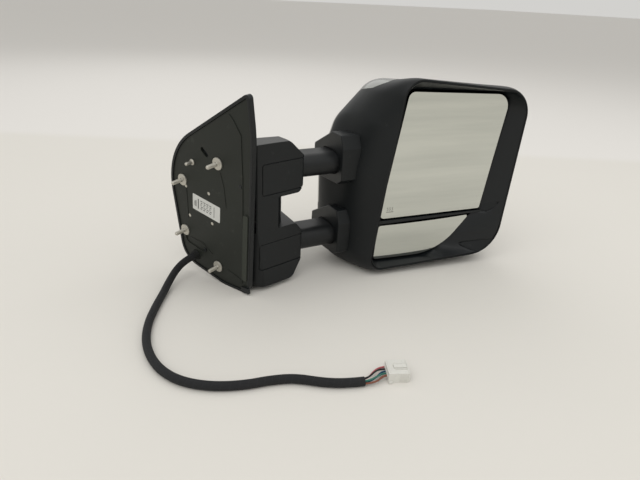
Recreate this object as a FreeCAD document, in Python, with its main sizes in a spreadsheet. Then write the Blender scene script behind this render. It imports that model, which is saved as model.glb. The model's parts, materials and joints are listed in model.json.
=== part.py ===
"""Telescoping towing mirror for a pickup's right-hand door, as a parametric FreeCAD document.

Millimetres.  +X runs outboard along the two arm tubes, +Y is the vehicle's front and +Z is up.
The pieces are worked out with X = 0 in the fold bracket, Y = 0 in the plane of the tubes and Z = 0 on
the surface the mirror stands on when it is off the vehicle.  The finished pieces are then moved to an
origin in the middle of the base of the whole object.  Every driving size is a cell of the sheet "Dims".
"""
import FreeCAD, Part
import math
import os
import re

from FreeCAD import Placement, Rotation, Vector

# ---------------------------------------------------------------- driving dimensions
DIMS = [
    # telescoping tubes
    ("lower_tube_rise", 58.5, "height of the lower tube's axis"),
    ("tube_spacing", 120, "height of the upper tube's axis above the lower one"),
    ("tube_tall", 35, "height of the oval tube section"),
    ("tube_wide", 58, "width of the oval tube section"),
    ("tube_wall", 2.5, "wall of the tube"),
    ("tube_start", 14, "inboard end of the tubes, in the bracket"),
    ("stop_room", 9, "how far a tube runs on past its guide when the head is pulled right out"),
    ("tube_fit", 0.06, "radial running clearance of the bushes on the tubes"),
    ("travel", 95, "how far the head pulls out"),
    # fold pivot
    ("pivot_across", -5, "X of the fold axis"),
    ("pivot_back", 12, "how far the fold axis lies behind the tubes' plane"),
    ("pivot_shaft", 14, "diameter of the pivot shaft"),
    ("pivot_fit", 0.05, "radial running clearance of the pivot"),
    ("knuckle_low", 104, "underside of the base knuckle"),
    ("knuckle_tall", 38, "height of the base knuckle"),
    ("knuckle_radius", 17, "outer radius of the base knuckle"),
    ("frame_knuckle", 20, "outer radius of the bracket frame's knuckles"),
    ("washer_thick", 1, "thrust washer between the knuckles"),
    # fold bracket
    ("arm_end", 54, "outboard face of the bracket"),
    ("arm_back", 36, "rear face of the bracket at its outboard end, behind the tubes' plane"),
    ("arm_front", 36, "front face of the bracket, ahead of the tubes' plane"),
    ("arm_taper", 14, "angle of the rear face, wider towards the door"),
    ("swing_radius", 50, "round inboard end of the bracket about the fold axis"),
    ("arm_wall", 3, "wall of the bracket's casing"),
    ("barrel_radius", 30, "round web between the two arms"),
    ("seam", 0.3, "gap along the seams of the casings"),
    ("panel_thick", 1.2, "thickness of the arm panels"),
    ("panel_sunk", 0.5, "how far an arm panel's face lies under the casing round it"),
    ("panel_gap", 1.1, "groove round an arm panel"),
    # base
    ("plate_turn", 25, "turn of the door face from the tubes' normal plane"),
    ("plate_lean", 5, "inward lean of the door face"),
    ("plate_thick", 3, "thickness of the cast base plate"),
    ("cover_deep", 6, "depth of the base cover behind the door face"),
    ("cover_rim", 4, "width of the cover's rim round the plate"),
    ("rim_stand", 1.5, "how far that rim stands off the door face"),
    ("stud_thread", 6, "diameter of the mounting studs"),
    ("stud_reach", 20, "length of a stud beyond the door face"),
    ("stud_flange", 18, "diameter of a stud's flange"),
    ("stud_flange_thick", 2, "thickness of that flange"),
    ("pin_thick", 5, "diameter of the locating pin"),
    ("pin_reach", 13, "length of the locating pin beyond the door face"),
    ("loom_thick", 11, "diameter of the wiring loom"),
    ("wire_thick", 2.2, "diameter of the connector's wires"),
    ("connector_long", 26, "length of the connector"),
    ("connector_wide", 27, "width of the connector"),
    ("connector_tall", 13, "height of the connector"),
    # head
    ("head_yaw", 8, "turn of the head towards the driver"),
    ("head_start", 115, "X of the collars' inboard face and of the head's own frame"),
    ("rim_depth", 71, "the head's rear rim behind its own frame"),
    ("skin", 4.2, "wall of the head's housing"),
    ("cap_skin", 2, "thickness of the bright front cap"),
    ("cap_gap", 0.4, "clearance under the front cap"),
    ("lip", 3.2, "width of the rear lip, housing and surround together"),
    ("glass_thick", 3, "thickness of the upper glass"),
    ("glass_gap", 3.3, "gap round the glasses, for their tilt"),
    ("heater_thick", 0.6, "thickness of the heater pads"),
    ("backing_thick", 2.5, "thickness of the glass backings"),
    ("spotter_radius", 1200, "radius of the convex lower glass"),
    # gimbals and drive
    ("gimbal_depth", 38, "the gimbals' centre behind the head's frame"),
    ("gimbal_gap", 6.9, "from the glass backings to the gimbals' centre"),
    ("trunnion", 5, "diameter of the gimbal trunnions"),
    ("trunnion_fit", 0.05, "radial clearance of the trunnions"),
    ("trunnion_reach", 12.5, "length of a trunnion from the gimbal's centre"),
    ("drive_radius", 30, "distance of the drive rods from the gimbal's axes"),
    ("drive_rod", 7, "diameter of the drive rods"),
    ("drive_ball", 8, "diameter of the ball on a drive rod"),
    ("ball_play", 1.3, "room round that ball in its cup, as the glass tilts both ways"),
    ("drive_radius_body", 40, "radius of the glass actuator"),
    ("bush_wall", 3, "wall of the guide bushes"),
    ("bush_length", 14, "length of a guide bush"),
    ("guide_inset", 37, "how far inside the head the tube guides start"),
    ("guide_length", 44, "length of the tube guides"),
    # the whole object's origin
    ("origin_across", 143.9, "X of the finished model's origin, measured from the bracket"),
    ("origin_back", 18.1, "how far that origin lies behind the tubes' plane"),
]

doc = FreeCAD.newDocument("TowingMirror")
sheet = doc.addObject("Spreadsheet::Sheet", "Dims")
for row, (alias, value, note) in enumerate(DIMS, start=1):
    sheet.set(f"A{row}", note)
    sheet.set(f"B{row}", str(value))
    sheet.setAlias(f"B{row}", alias)
doc.recompute()

ALIASES = [alias for alias, value, note in DIMS]
NODES = []


def size(alias):
    """The number in one cell of the sheet."""
    return float(sheet.get(alias))


def formula(text):
    """An expression on aliases, written for setExpression."""
    return re.sub(r"[a-z_]+", lambda word: f"Dims.{word[0]}" if word[0] in ALIASES else word[0], str(text))


def bind(thing, **sizes):
    """Bind properties of a feature to expressions on the sheet."""
    for prop, text in sizes.items():
        thing.setExpression(prop, formula(text))
    return thing


def place(thing, at, turn=None):
    """Bind a feature's position; turn is a fixed Rotation."""
    if turn is not None:
        thing.Placement = Placement(Vector(), turn)
    for axis, text in zip("xyz", at):
        thing.setExpression(f"Placement.Base.{axis}", formula(text))
    return thing


ALONG_X = Rotation(Vector(0, 1, 0), 90)
ALONG_Y = Rotation(Vector(1, 0, 0), -90)
ALONG_Z = Rotation()


def box(name, length, width, height, at):
    """A box, its corner at a point."""
    thing = doc.addObject("Part::Box", name)
    bind(thing, Length=length, Width=width, Height=height)
    return place(thing, at)


def rod(name, radius, height, at, turn=ALONG_Z):
    """A cylinder from a point along X, Y or Z."""
    thing = doc.addObject("Part::Cylinder", name)
    bind(thing, Radius=radius, Height=height)
    return place(thing, at, turn)


def fuse(name, *things):
    """One solid from several."""
    thing = doc.addObject("Part::MultiFuse", name)
    thing.Shapes = list(things)
    thing.Refine = True
    return thing


def cut(name, base, *tools):
    """The base less every tool."""
    tool = tools[0] if len(tools) == 1 else fuse(name + "_tools", *tools)
    thing = doc.addObject("Part::Cut", name)
    thing.Base = base
    thing.Tool = tool
    thing.Refine = True
    return thing


def common(name, *things):
    """What several solids share."""
    thing = doc.addObject("Part::MultiCommon", name)
    thing.Shapes = list(things)
    return thing


def group(name, *things):
    """Separate solids of one node."""
    thing = doc.addObject("Part::Compound", name)
    thing.Links = list(things)
    return thing


def feature(name, shape):
    """A shape worked out by the functions below."""
    thing = doc.addObject("Part::Feature", name)
    thing.Shape = shape
    return thing


ORIGIN = Placement(Vector(-size("origin_across"), size("origin_back"), 0), Rotation())


def node(label, thing, placement=None):
    """Name a finished sub-part; placement seats it from its own frame."""
    thing.Label = label
    thing.Placement = ORIGIN * (thing.Placement if placement is None else placement)
    NODES.append(thing)
    return thing


# ---------------------------------------------------------------- outlines
def rounded(points, lift, plane="xy"):
    """A closed wire through corners (a, b, radius), flat at the given level."""
    spots = [Vector(a, b, 0) for a, b, radius in points]
    edges = []
    ends = []
    for index, (a, b, radius) in enumerate(points):
        here = spots[index]
        before = (spots[index - 1] - here).normalize()
        after = (spots[(index + 1) % len(spots)] - here).normalize()
        half = before.getAngle(after) / 2
        run = radius / math.tan(half)
        middle = here + (before + after).normalize() * (radius / math.sin(half) - radius)
        ends.append((here + before * run, middle, here + after * run))
    for index, (start, middle, end) in enumerate(ends):
        edges.append(Part.Arc(start, middle, end).toShape())
        edges.append(Part.makeLine(end, ends[(index + 1) % len(ends)][0]))
    wire = Part.Wire(edges)
    turns = {"xy": Rotation(), "xz": Rotation(Vector(1, 0, 0), 90), "yz": Rotation(Vector(1, 1, 1), 120)}
    turn = turns[plane]
    normal = {"xy": Vector(0, 0, 1), "xz": Vector(0, 1, 0), "yz": Vector(1, 0, 0)}[plane]
    wire.Placement = Placement(normal * lift, turn)
    return wire


def slab(points, start, end, plane="xy"):
    """A rounded outline pulled from one level to another."""
    normal = {"xy": Vector(0, 0, 1), "xz": Vector(0, 1, 0), "yz": Vector(1, 0, 0)}[plane]
    return Part.Face(rounded(points, start, plane)).extrude(normal * (end - start))


def inset(points, amount):
    """Corners of the outline moved in by an amount (out where it is negative)."""
    side = 1 if area_sign(points) > 0 else -1
    moved = []
    for index, (a, b, radius) in enumerate(points):
        here = Vector(a, b, 0)
        before = (here - Vector(*points[index - 1][:2], 0)).normalize()
        after = (Vector(*points[(index + 1) % len(points)][:2], 0) - here).normalize()
        cross = before.x * after.y - before.y * after.x
        inward_a = Vector(-before.y, before.x, 0) * side
        inward_b = Vector(-after.y, after.x, 0) * side
        blend = (inward_a + inward_b) * (1 / (1 + inward_a.dot(inward_b)))
        spot = here + blend * amount
        bend = 1 if cross * side > 0 else -1
        moved.append((spot.x, spot.y, max(radius - bend * amount, 0.4)))
    return moved


def area_sign(points):
    """Positive where the corners run anticlockwise."""
    total = 0
    for index, (a, b, radius) in enumerate(points):
        c, d = points[(index + 1) % len(points)][:2]
        total += a * d - b * c
    return total


# ---------------------------------------------------------------- frames and shared places
PIVOT = Vector(size("pivot_across"), -size("pivot_back"), 0)

# The door face: x towards the vehicle's front, y up the face, z outboard; studs leave along -z.
PLATE_CORNER = Vector(-44, -80, 161.3)
PLATE = Placement(
    PLATE_CORNER,
    Rotation(Vector(0, 0, 1), size("plate_turn"))
    * Rotation(Vector(1, 1, 1), 120)
    * Rotation(Vector(1, 0, 0), -size("plate_lean")),
)

# The head: x outboard across the glass, y forward, z up.
HEAD = Placement(Vector(size("head_start"), 0, 0), Rotation(Vector(0, 0, 1), -size("head_yaw")))

RISES = {"lower": "lower_tube_rise", "upper": "lower_tube_rise + tube_spacing"}


def oval_bar(name, grow, start, length, rise):
    """A bar along X of the tubes' oval section, larger all round by grow."""
    tall = f"(tube_tall + 2 * ({grow}))"
    flat = "(tube_wide - tube_tall)"
    middle = box(name + "_flat", length, flat, tall, (start, f"-{flat} / 2", f"{rise} - {tall} / 2"))
    ends = [
        rod(f"{name}_{side}", f"{tall} / 2", length, (start, f"{sign}{flat} / 2", rise), ALONG_X)
        for side, sign in (("back", "-"), ("front", ""))
    ]
    return fuse(name, middle, *ends)


# ---------------------------------------------------------------- telescoping tubes
SCREW_PLACES = (27, 40)
GUIDE_START = "head_start + guide_inset"
TUBE_LENGTH = f"({GUIDE_START} + guide_length + travel + stop_room - tube_start)"
SLEEVE_WALL = 3.5
SCREW_HEAD = 3

screws = []
for side, rise in RISES.items():
    holes = [
        rod(f"{side}_screw_hole_{place_x}", "3", "tube_tall / 2", (place_x, 0, f"{rise}"))
        for place_x in SCREW_PLACES
    ]
    tube = cut(
        f"tube_{side}_cut",
        oval_bar(f"tube_{side}_outer", "0", "tube_start", TUBE_LENGTH, rise),
        oval_bar(f"tube_{side}_inner", "-tube_wall", "tube_start", TUBE_LENGTH, rise),
        *holes,
    )
    node(f"tube_{side}", tube)

    flange = oval_bar(f"stop_{side}_flange", "2.5", f"tube_start + {TUBE_LENGTH}", "4", rise)
    plug = oval_bar(f"stop_{side}_plug", "-tube_wall - 0.05", f"tube_start + {TUBE_LENGTH} - 12", "12", rise)
    node(f"tube_stop_{side}", fuse(f"stop_{side}", flange, plug))

    for place_x in SCREW_PLACES:
        shank = rod(
            f"{side}_screw_shank_{place_x}", "3", f"tube_wall + {SLEEVE_WALL}",
            (place_x, 0, f"{rise} + tube_tall / 2 - tube_wall"),
        )
        head = rod(
            f"{side}_screw_head_{place_x}", "5", SCREW_HEAD,
            (place_x, 0, f"{rise} + tube_tall / 2 + {SLEEVE_WALL}"),
        )
        screws.append(fuse(f"{side}_screw_{place_x}", shank, head))
node("tube_screws", group("tube_screws_group", *screws))

# ---------------------------------------------------------------- bracket frame and fold pivot
SLEEVE_START = 11
LOWER_KNUCKLE_FOOT = 38
UPPER_KNUCKLE_TALL = 29
BALL_RING = 12
BALL = 5
SPRING_WIRE = 3.2
SPRING_TALL = 30
NUT_TALL = 8

AT_PIVOT = ("pivot_across", "-pivot_back")
knuckle_top = "knuckle_low + knuckle_tall"
upper_foot = f"{knuckle_top} + washer_thick"
upper_top = f"{upper_foot} + {UPPER_KNUCKLE_TALL}"

sleeves = [
    oval_bar(f"sleeve_{side}", SLEEVE_WALL, SLEEVE_START, f"arm_end - 8 - {SLEEVE_START}", rise)
    for side, rise in RISES.items()
]
sleeve_spaces = [
    oval_bar(f"sleeve_space_{side}", "0.05", "tube_start - 0.05", "arm_end", rise)
    for side, rise in RISES.items()
]
screw_spaces = [
    rod(f"sleeve_screw_{side}_{place_x}", "3", "tube_tall", (place_x, 0, rise))
    for side, rise in RISES.items()
    for place_x in SCREW_PLACES
]
lower_knuckle = rod(
    "lower_knuckle", "frame_knuckle", f"knuckle_low - washer_thick - {LOWER_KNUCKLE_FOOT}",
    (*AT_PIVOT, LOWER_KNUCKLE_FOOT),
)
upper_knuckle = rod("upper_knuckle", "frame_knuckle", UPPER_KNUCKLE_TALL, (*AT_PIVOT, upper_foot))
spine_ring = cut(
    "spine_ring",
    rod("spine_outer", "barrel_radius - 3.5", "knuckle_tall + 28", (*AT_PIVOT, "knuckle_low - 14")),
    rod("spine_inner", "knuckle_radius + 1", "knuckle_tall + 28", (*AT_PIVOT, "knuckle_low - 14")),
)
spine = common(
    "spine", spine_ring,
    box(
        "spine_side", "40", "80", "knuckle_tall + 28",
        ("pivot_across + 10", "-pivot_back - 40", "knuckle_low - 14"),
    ),
)
ball_groove = cut(
    "ball_groove",
    rod("groove_outer", f"{BALL_RING} + {BALL} / 2", "2.3", (*AT_PIVOT, upper_foot)),
    rod("groove_inner", f"{BALL_RING} - {BALL} / 2", "2.3", (*AT_PIVOT, upper_foot)),
)
frame_bore = rod("frame_bore", "pivot_shaft / 2 + pivot_fit", "300", (*AT_PIVOT, "0"))
node("bracket_frame", cut(
    "bracket_frame_cut",
    fuse("bracket_frame_fuse", *sleeves, lower_knuckle, upper_knuckle, spine),
    *sleeve_spaces, *screw_spaces, frame_bore, ball_groove,
))

shaft_foot = LOWER_KNUCKLE_FOOT - 4
nut_foot = f"{upper_top} + {SPRING_TALL} + 2.6"
node("pivot_shaft", fuse(
    "pivot_shaft_fuse",
    rod("shaft_flange", "11", "3.9", (*AT_PIVOT, shaft_foot)),
    rod(
        "shaft_bar", "pivot_shaft / 2", f"{nut_foot} + {NUT_TALL} + 2 - {shaft_foot}",
        (*AT_PIVOT, shaft_foot),
    ),
))
node("thrust_washer", cut(
    "thrust_washer_cut",
    rod("washer_outer", "knuckle_radius", "washer_thick", (*AT_PIVOT, "knuckle_low - washer_thick")),
    rod("washer_bore", "pivot_shaft / 2 + 0.1", "washer_thick", (*AT_PIVOT, "knuckle_low - washer_thick")),
))

ball_spots = [
    Vector(BALL_RING * math.cos(math.radians(120 * turn)), BALL_RING * math.sin(math.radians(120 * turn)), 0)
    for turn in range(3)
]
balls = []
pockets = []
ring_holes = []
for index, spot in enumerate(ball_spots):
    at = (f"pivot_across + {spot.x:.4f}", f"{spot.y:.4f} - pivot_back")
    ball = doc.addObject("Part::Sphere", f"ball_{index}")
    bind(ball, Radius=f"{BALL} / 2")
    balls.append(place(ball, (*at, knuckle_top)))
    pocket = doc.addObject("Part::Sphere", f"ball_pocket_{index}")
    bind(pocket, Radius=f"{BALL} / 2 + 0.05")
    pockets.append(place(pocket, (*at, knuckle_top)))
    ring_holes.append(rod(f"ring_hole_{index}", f"{BALL} / 2 + 0.1", "washer_thick", (*at, knuckle_top)))
node("detent_balls", group("detent_balls_group", *balls))
node("detent_ring", cut(
    "detent_ring_cut",
    rod("ring_outer", "knuckle_radius", "washer_thick - 0.1", (*AT_PIVOT, knuckle_top)),
    rod("ring_bore", "pivot_shaft / 2 + 0.1", "washer_thick", (*AT_PIVOT, knuckle_top)),
    *ring_holes,
))

spring_middle = size("pivot_shaft") / 2 + SPRING_WIRE / 2 + 1.6
spring_start = UPPER_KNUCKLE_TALL + sum(
    size(name) for name in ("knuckle_low", "knuckle_tall", "washer_thick")
)
spring_path = Part.makeHelix((SPRING_TALL - SPRING_WIRE) / 4, SPRING_TALL - SPRING_WIRE, spring_middle)
spring_end = Part.Wire(Part.makeCircle(SPRING_WIRE / 2, Vector(spring_middle, 0, 0), Vector(0, 1, 0)))
spring = Part.Wire(spring_path).makePipeShell([spring_end], True, True)
spring.translate(PIVOT + Vector(0, 0, spring_start + SPRING_WIRE / 2 + 0.3))
node("fold_spring", feature("fold_spring_coil", spring))

node("spring_washer", cut(
    "spring_washer_cut",
    rod("spring_washer_outer", "15", "2", (*AT_PIVOT, f"{nut_foot} - 2")),
    rod("spring_washer_bore", "pivot_shaft / 2 + 0.1", "2", (*AT_PIVOT, f"{nut_foot} - 2")),
))
nut = doc.addObject("Part::Prism", "nut_hex")
nut.Polygon = 6
bind(nut, Circumradius="12.7", Height=NUT_TALL)
place(nut, (*AT_PIVOT, nut_foot))
node("pivot_nut", cut(
    "pivot_nut_cut", nut, rod("nut_bore", "pivot_shaft / 2 + 0.05", NUT_TALL, (*AT_PIVOT, nut_foot)),
))

# ---------------------------------------------------------------- fold bracket casing
ARM_END = size("arm_end")
half_tube = size("tube_tall") / 2
lower_axis = size("lower_tube_rise")
upper_axis = lower_axis + size("tube_spacing")
lower_foot = lower_axis - half_tube
lower_top = lower_axis + half_tube
upper_low = upper_axis - half_tube
upper_high = upper_axis + half_tube
LOWER_ARM = [
    (-60, lower_foot - 33, 4), (ARM_END - 18, lower_foot - 33, 12), (ARM_END, lower_foot - 1, 14),
    (ARM_END, lower_top + 6, 10), (ARM_END - 14, lower_top + 23, 8), (-60, lower_top + 23, 4),
]
UPPER_ARM = [
    (-60, upper_low - 14, 4), (ARM_END - 9, upper_low - 14, 6), (ARM_END, upper_low - 3, 6),
    (ARM_END, upper_high + 4, 12), (ARM_END - 28, upper_high + 31, 16), (-60, upper_high + 33, 4),
]
CROWN = [
    (-75, -20, 2), (60, -20, 2), (60, upper_high + 2, 5), (22, upper_high + 21, 30),
    (-48, upper_high + 31, 60),
    (-75, upper_high + 32, 2),
]
ARM_BACK_DRAFT = math.tan(math.radians(size("arm_taper")))
# The base's tongue reaches the fold pivot between the arms, and the bracket turns about it.
TONGUE_TURN = 155
TONGUE_WIDE = 24
TONGUE_CLEAR = 3
FOLD_FORWARD = 55
FOLD_BACK = 50


def arm_plan(shrink):
    """Plan outline of the bracket: tapered rear face and a round end about the pivot."""
    end = size("arm_end")
    back = size("arm_back")
    outline = [
        (-80, -back - (end + 80) * ARM_BACK_DRAFT, 2),
        (end, -back, 6),
        (end, size("arm_front"), 10),
        (-80, size("arm_front"), 2),
    ]
    tall = 240
    block = slab(inset(outline, shrink), 0, tall)
    swing = size("swing_radius") - shrink
    cone_tall = 100
    round_end = Part.makeCone(swing - 9, swing, cone_tall, PIVOT).fuse(
        Part.makeCylinder(swing, tall - cone_tall, PIVOT + Vector(0, 0, cone_tall)))
    outboard = Part.makeBox(200, 200, tall, PIVOT - Vector(0, 100, 0))
    return block.common(round_end.fuse(outboard))


def arm_block(profile, shrink):
    """One arm of the casing as a solid, smaller all round by shrink."""
    side = slab(inset(profile, shrink), -90, 70, "xz")
    crown = slab(inset(CROWN, shrink), -90, 90, "yz")
    return side.common(crown).common(arm_plan(shrink))


def heading(degrees):
    """A level direction, turned from +X towards +Y."""
    return Vector(math.cos(math.radians(degrees)), math.sin(math.radians(degrees)), 0)


def pivot_cylinder(radius, low, high):
    """A cylinder about the fold axis."""
    return Part.makeCylinder(radius, high - low, PIVOT + Vector(0, 0, low))


wall = size("arm_wall")
lower_shell = arm_block(LOWER_ARM, 0).cut(arm_block(LOWER_ARM, wall))
upper_shell = arm_block(UPPER_ARM, 0).cut(arm_block(UPPER_ARM, wall))
WEB_LOW = lower_top + 21.5
WEB_HIGH = upper_low - 12
barrel = pivot_cylinder(size("barrel_radius"), WEB_LOW, WEB_HIGH)
rear_web = arm_plan(0).cut(arm_plan(wall + 0.5)).common(
    Part.makeBox(70, 60, WEB_HIGH - WEB_LOW, Vector(-62, -75, WEB_LOW)))
tongue_spread = math.degrees(math.asin(TONGUE_WIDE / 2 / (size("barrel_radius") - wall)))
swing_sector = Part.Face(Part.makePolygon([
    PIVOT,
    PIVOT + heading(TONGUE_TURN - FOLD_BACK - tongue_spread - TONGUE_CLEAR) * 120,
    PIVOT + Vector(-200, 120, 0),
    PIVOT + heading(TONGUE_TURN + FOLD_FORWARD + tongue_spread + TONGUE_CLEAR) * 120,
    PIVOT,
])).extrude(Vector(0, 0, WEB_HIGH - WEB_LOW))
swing_sector.translate(Vector(0, 0, WEB_LOW))
barrel_space = pivot_cylinder(size("barrel_radius") - wall, WEB_LOW - wall, WEB_HIGH + wall)
web = barrel.fuse(rear_web).cut(swing_sector)
casing = lower_shell.fuse([upper_shell, web]).cut(barrel_space).removeSplitter()

SPLIT = 14
half_gap = size("seam") / 2
front_half = Part.makeBox(300, 200, 300, Vector(-150, SPLIT + half_gap, -10))
rear_half = Part.makeBox(300, 200, 300, Vector(-150, SPLIT - half_gap - 200, -10))


PANELS = {
    "upper": (UPPER_ARM, (-19, upper_low - 7, upper_high + 2)),
    "lower": (LOWER_ARM, (-24, lower_foot - 3, lower_top + 2)),
}
panel_face = size("panel_sunk")
panel_foot = panel_face + size("panel_thick")
PANEL_SEAT = 0.05


def panel_block(side, gap):
    """The block that holds a recessed arm panel, larger all round by gap."""
    left, low, high = PANELS[side][1]
    right = ARM_END + 6
    corners = [(left, low, 3), (right, low, 3), (right, high, 3), (left, high, 3)]
    return slab(inset(corners, -gap), -90, -size("arm_back") + wall + 1.5, "xz")


rear_casing = casing.common(rear_half)
for side, (profile, _) in PANELS.items():
    panel = arm_block(profile, panel_face).cut(arm_block(profile, panel_foot)).common(panel_block(side, 0))
    node(f"arm_panel_{side}", feature(f"arm_panel_{side}_shape", panel))
    recess = arm_block(profile, -1).cut(arm_block(profile, panel_foot + PANEL_SEAT))
    rear_casing = rear_casing.cut(recess.common(panel_block(side, size("panel_gap"))))

tube_openings = [
    oval_bar(f"casing_opening_{side}", "0.6", "arm_end - 10", "20", rise) for side, rise in RISES.items()
]
node("bracket_housing", cut(
    "bracket_housing_cut", feature("rear_casing", rear_casing), *tube_openings,
))
front_openings = [
    oval_bar(f"front_opening_{side}", "0.6", "arm_end - 10", "20", rise) for side, rise in RISES.items()
]
node("bracket_front_cover", cut(
    "bracket_front_cut", feature("front_casing", casing.common(front_half)), *front_openings,
))

# ---------------------------------------------------------------- base on the door
DOOR_OUTLINE = [(22, -160, 18), (75, -162, 60), (164, -143, 36), (171, 37, 110), (-7, 142, 5), (-9, 85, 200)]
STUD_SPOTS = [(62, 37), (142, -5), (152, -91), (85, -134)]
PIN_SPOT = (115, 28)
EXIT_SPOT = (134, -130)
FOOT = [(76, -72, 10), (148, -72, 10), (148, -4, 10), (76, -4, 10)]
FOOT_THICK = 7

rim = size("cover_rim")
plate_outline = inset(DOOR_OUTLINE, rim + size("seam"))


def door_rod(spot, radius, start, end):
    """A round bar through the door face, between two levels."""
    return Part.makeCylinder(radius, end - start, Vector(*spot, start))


def near_edge(height):
    """How far forward the cover's rear edge lies, at a height on the door face."""
    (low_a, low_b, _), (high_a, high_b, _) = DOOR_OUTLINE[0], DOOR_OUTLINE[-1]
    return low_a + (height - low_b) * (high_a - low_a) / (high_b - low_b)


plate_thick = size("plate_thick")
cover_deep = size("cover_deep")
thread = size("stud_thread") / 2
slot_spot = Vector(87, 48, -1)
oblique_slot = slab([(-8, -3.5, 3.4), (8, -3.5, 3.4), (8, 3.5, 3.4), (-8, 3.5, 3.4)], 0, plate_thick + 2)
oblique_slot.Placement = Placement(slot_spot, Rotation(Vector(0, 0, 1), 42))
pocket = slab([(106, -121, 7), (152, -112, 7), (156, -98, 7), (108, -101, 7)], 0, 1.5)
foot_screw_spots = [(88, -62), (137, -62), (137, -14), (88, -14)]

plate = slab(plate_outline, 0, plate_thick)
plate_holes = [door_rod(spot, thread, -1, 9) for spot in STUD_SPOTS]
plate_holes += [door_rod(PIN_SPOT, size("pin_thick") / 2, -1, 9), door_rod(EXIT_SPOT, 7.5, -1, 9)]
plate_holes += [door_rod(spot, 2.5, -1, 9) for spot in foot_screw_spots]
node("base_plate", feature("base_plate_shape", plate.cut(plate_holes + [oblique_slot, pocket])), PLATE)

CLIP = [(20, -158.5, 1.5), (36, -160, 1.5), (36, -150.5, 1.5), (20, -149, 1.5)]
cover = slab(DOOR_OUTLINE, -size("rim_stand"), cover_deep)
cover_space = slab(inset(DOOR_OUTLINE, rim), -size("rim_stand"), plate_thick)
clip_notch = slab(inset(CLIP, -size("seam")), -10, 0)
cover_holes = [door_rod(spot, 3.2, 0, 20) for spot in foot_screw_spots]
node("base_cover", feature("base_cover_shape", cover.cut([cover_space, clip_notch] + cover_holes)), PLATE)

to_door = PLATE.inverse()
tongue = Part.makeBox(130, TONGUE_WIDE, size("knuckle_tall"), Vector(0, -TONGUE_WIDE / 2, 0))
tongue.Placement = Placement(
    PIVOT + Vector(0, 0, size("knuckle_low")), Rotation(Vector(0, 0, 1), TONGUE_TURN)
)
knuckle_foot = size("knuckle_low")
knuckle = pivot_cylinder(size("knuckle_radius"), knuckle_foot, knuckle_foot + size("knuckle_tall"))
foot = slab(FOOT, cover_deep, cover_deep + FOOT_THICK)
foot.Placement = PLATE
outboard_of_foot = slab(inset(FOOT, -60), cover_deep, cover_deep + 150)
outboard_of_foot.Placement = PLATE
pedestal_holes = [pivot_cylinder(size("pivot_shaft") / 2, 0, 300)]
for spot in foot_screw_spots:
    hole = door_rod(spot, 2.5, 0, 30)
    hole.Placement = PLATE
    pedestal_holes.append(hole)
pedestal = tongue.common(outboard_of_foot).fuse([knuckle, foot]).removeSplitter().cut(pedestal_holes)
pedestal_blank = feature("pedestal_blank", pedestal)
node("base_pedestal", cut("base_pedestal_cut", pedestal_blank, *pockets))

foot_screws = []
for spot in foot_screw_spots:
    top = cover_deep + FOOT_THICK
    screw = door_rod(spot, 2.5, 0, top).fuse(door_rod(spot, 4.5, top, top + 3.5)).removeSplitter()
    foot_screws.append(feature("foot_screw", screw))
node("pedestal_screws", group("pedestal_screws_group", *foot_screws), PLATE)

studs = []
flange_thick = size("stud_flange_thick")
for spot in STUD_SPOTS:
    reach = size("stud_reach")
    stud = door_rod(spot, thread, 1.5 - reach, plate_thick).fuse([
        door_rod(spot, size("stud_flange") / 2, -flange_thick, 0),
        Part.makeCone(thread * 0.7, thread, 1.5, Vector(*spot, -reach)),
    ]).removeSplitter()
    studs.append(feature("stud", stud))
node("mounting_studs", group("mounting_studs_group", *studs), PLATE)

pin_radius = size("pin_thick") / 2
pin = door_rod(PIN_SPOT, pin_radius, 1 - size("pin_reach"), plate_thick).fuse([
    door_rod(PIN_SPOT, pin_radius + 2, -1.5, 0),
    Part.makeCone(pin_radius * 0.6, pin_radius, 1, Vector(*PIN_SPOT, -size("pin_reach"))),
]).removeSplitter()
node("locating_pin", feature("locating_pin_shape", pin), PLATE)

label = slab([(-28.5, -13, 1.5), (28.5, -13, 1.5), (28.5, 13, 1.5), (-28.5, 13, 1.5)], -0.3, 0)
label_seat = Placement(Vector(97, -39, 0), Rotation(Vector(0, 0, 1), 9))
node("blank_label", feature("blank_label_shape", label), PLATE * label_seat)

seal_high = -28
seal_low = -138
seal_outline = [
    (near_edge(seal_low) + rim + 1, seal_low, 2),
    (near_edge(seal_low) + rim + 10, seal_low, 2),
    (near_edge(seal_high) + rim + 10, seal_high, 2),
    (near_edge(seal_high) + rim + 1, seal_high, 2),
]
node("edge_seal", feature("edge_seal_shape", slab(seal_outline, -2.5, 0)), PLATE)

clip = slab(CLIP, -size("rim_stand") - 1.5, 0)
node("edge_clip", feature("edge_clip_shape", clip), PLATE)

grommet = door_rod(EXIT_SPOT, 8.5, -2, 0).fuse([
    door_rod(EXIT_SPOT, 7.5, 0, plate_thick),
    Part.makeCone(6.5, 8, 5, Vector(*EXIT_SPOT, -7)),
]).removeSplitter()
node("cable_grommet", feature("cable_grommet_shape", grommet), PLATE)

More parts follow.
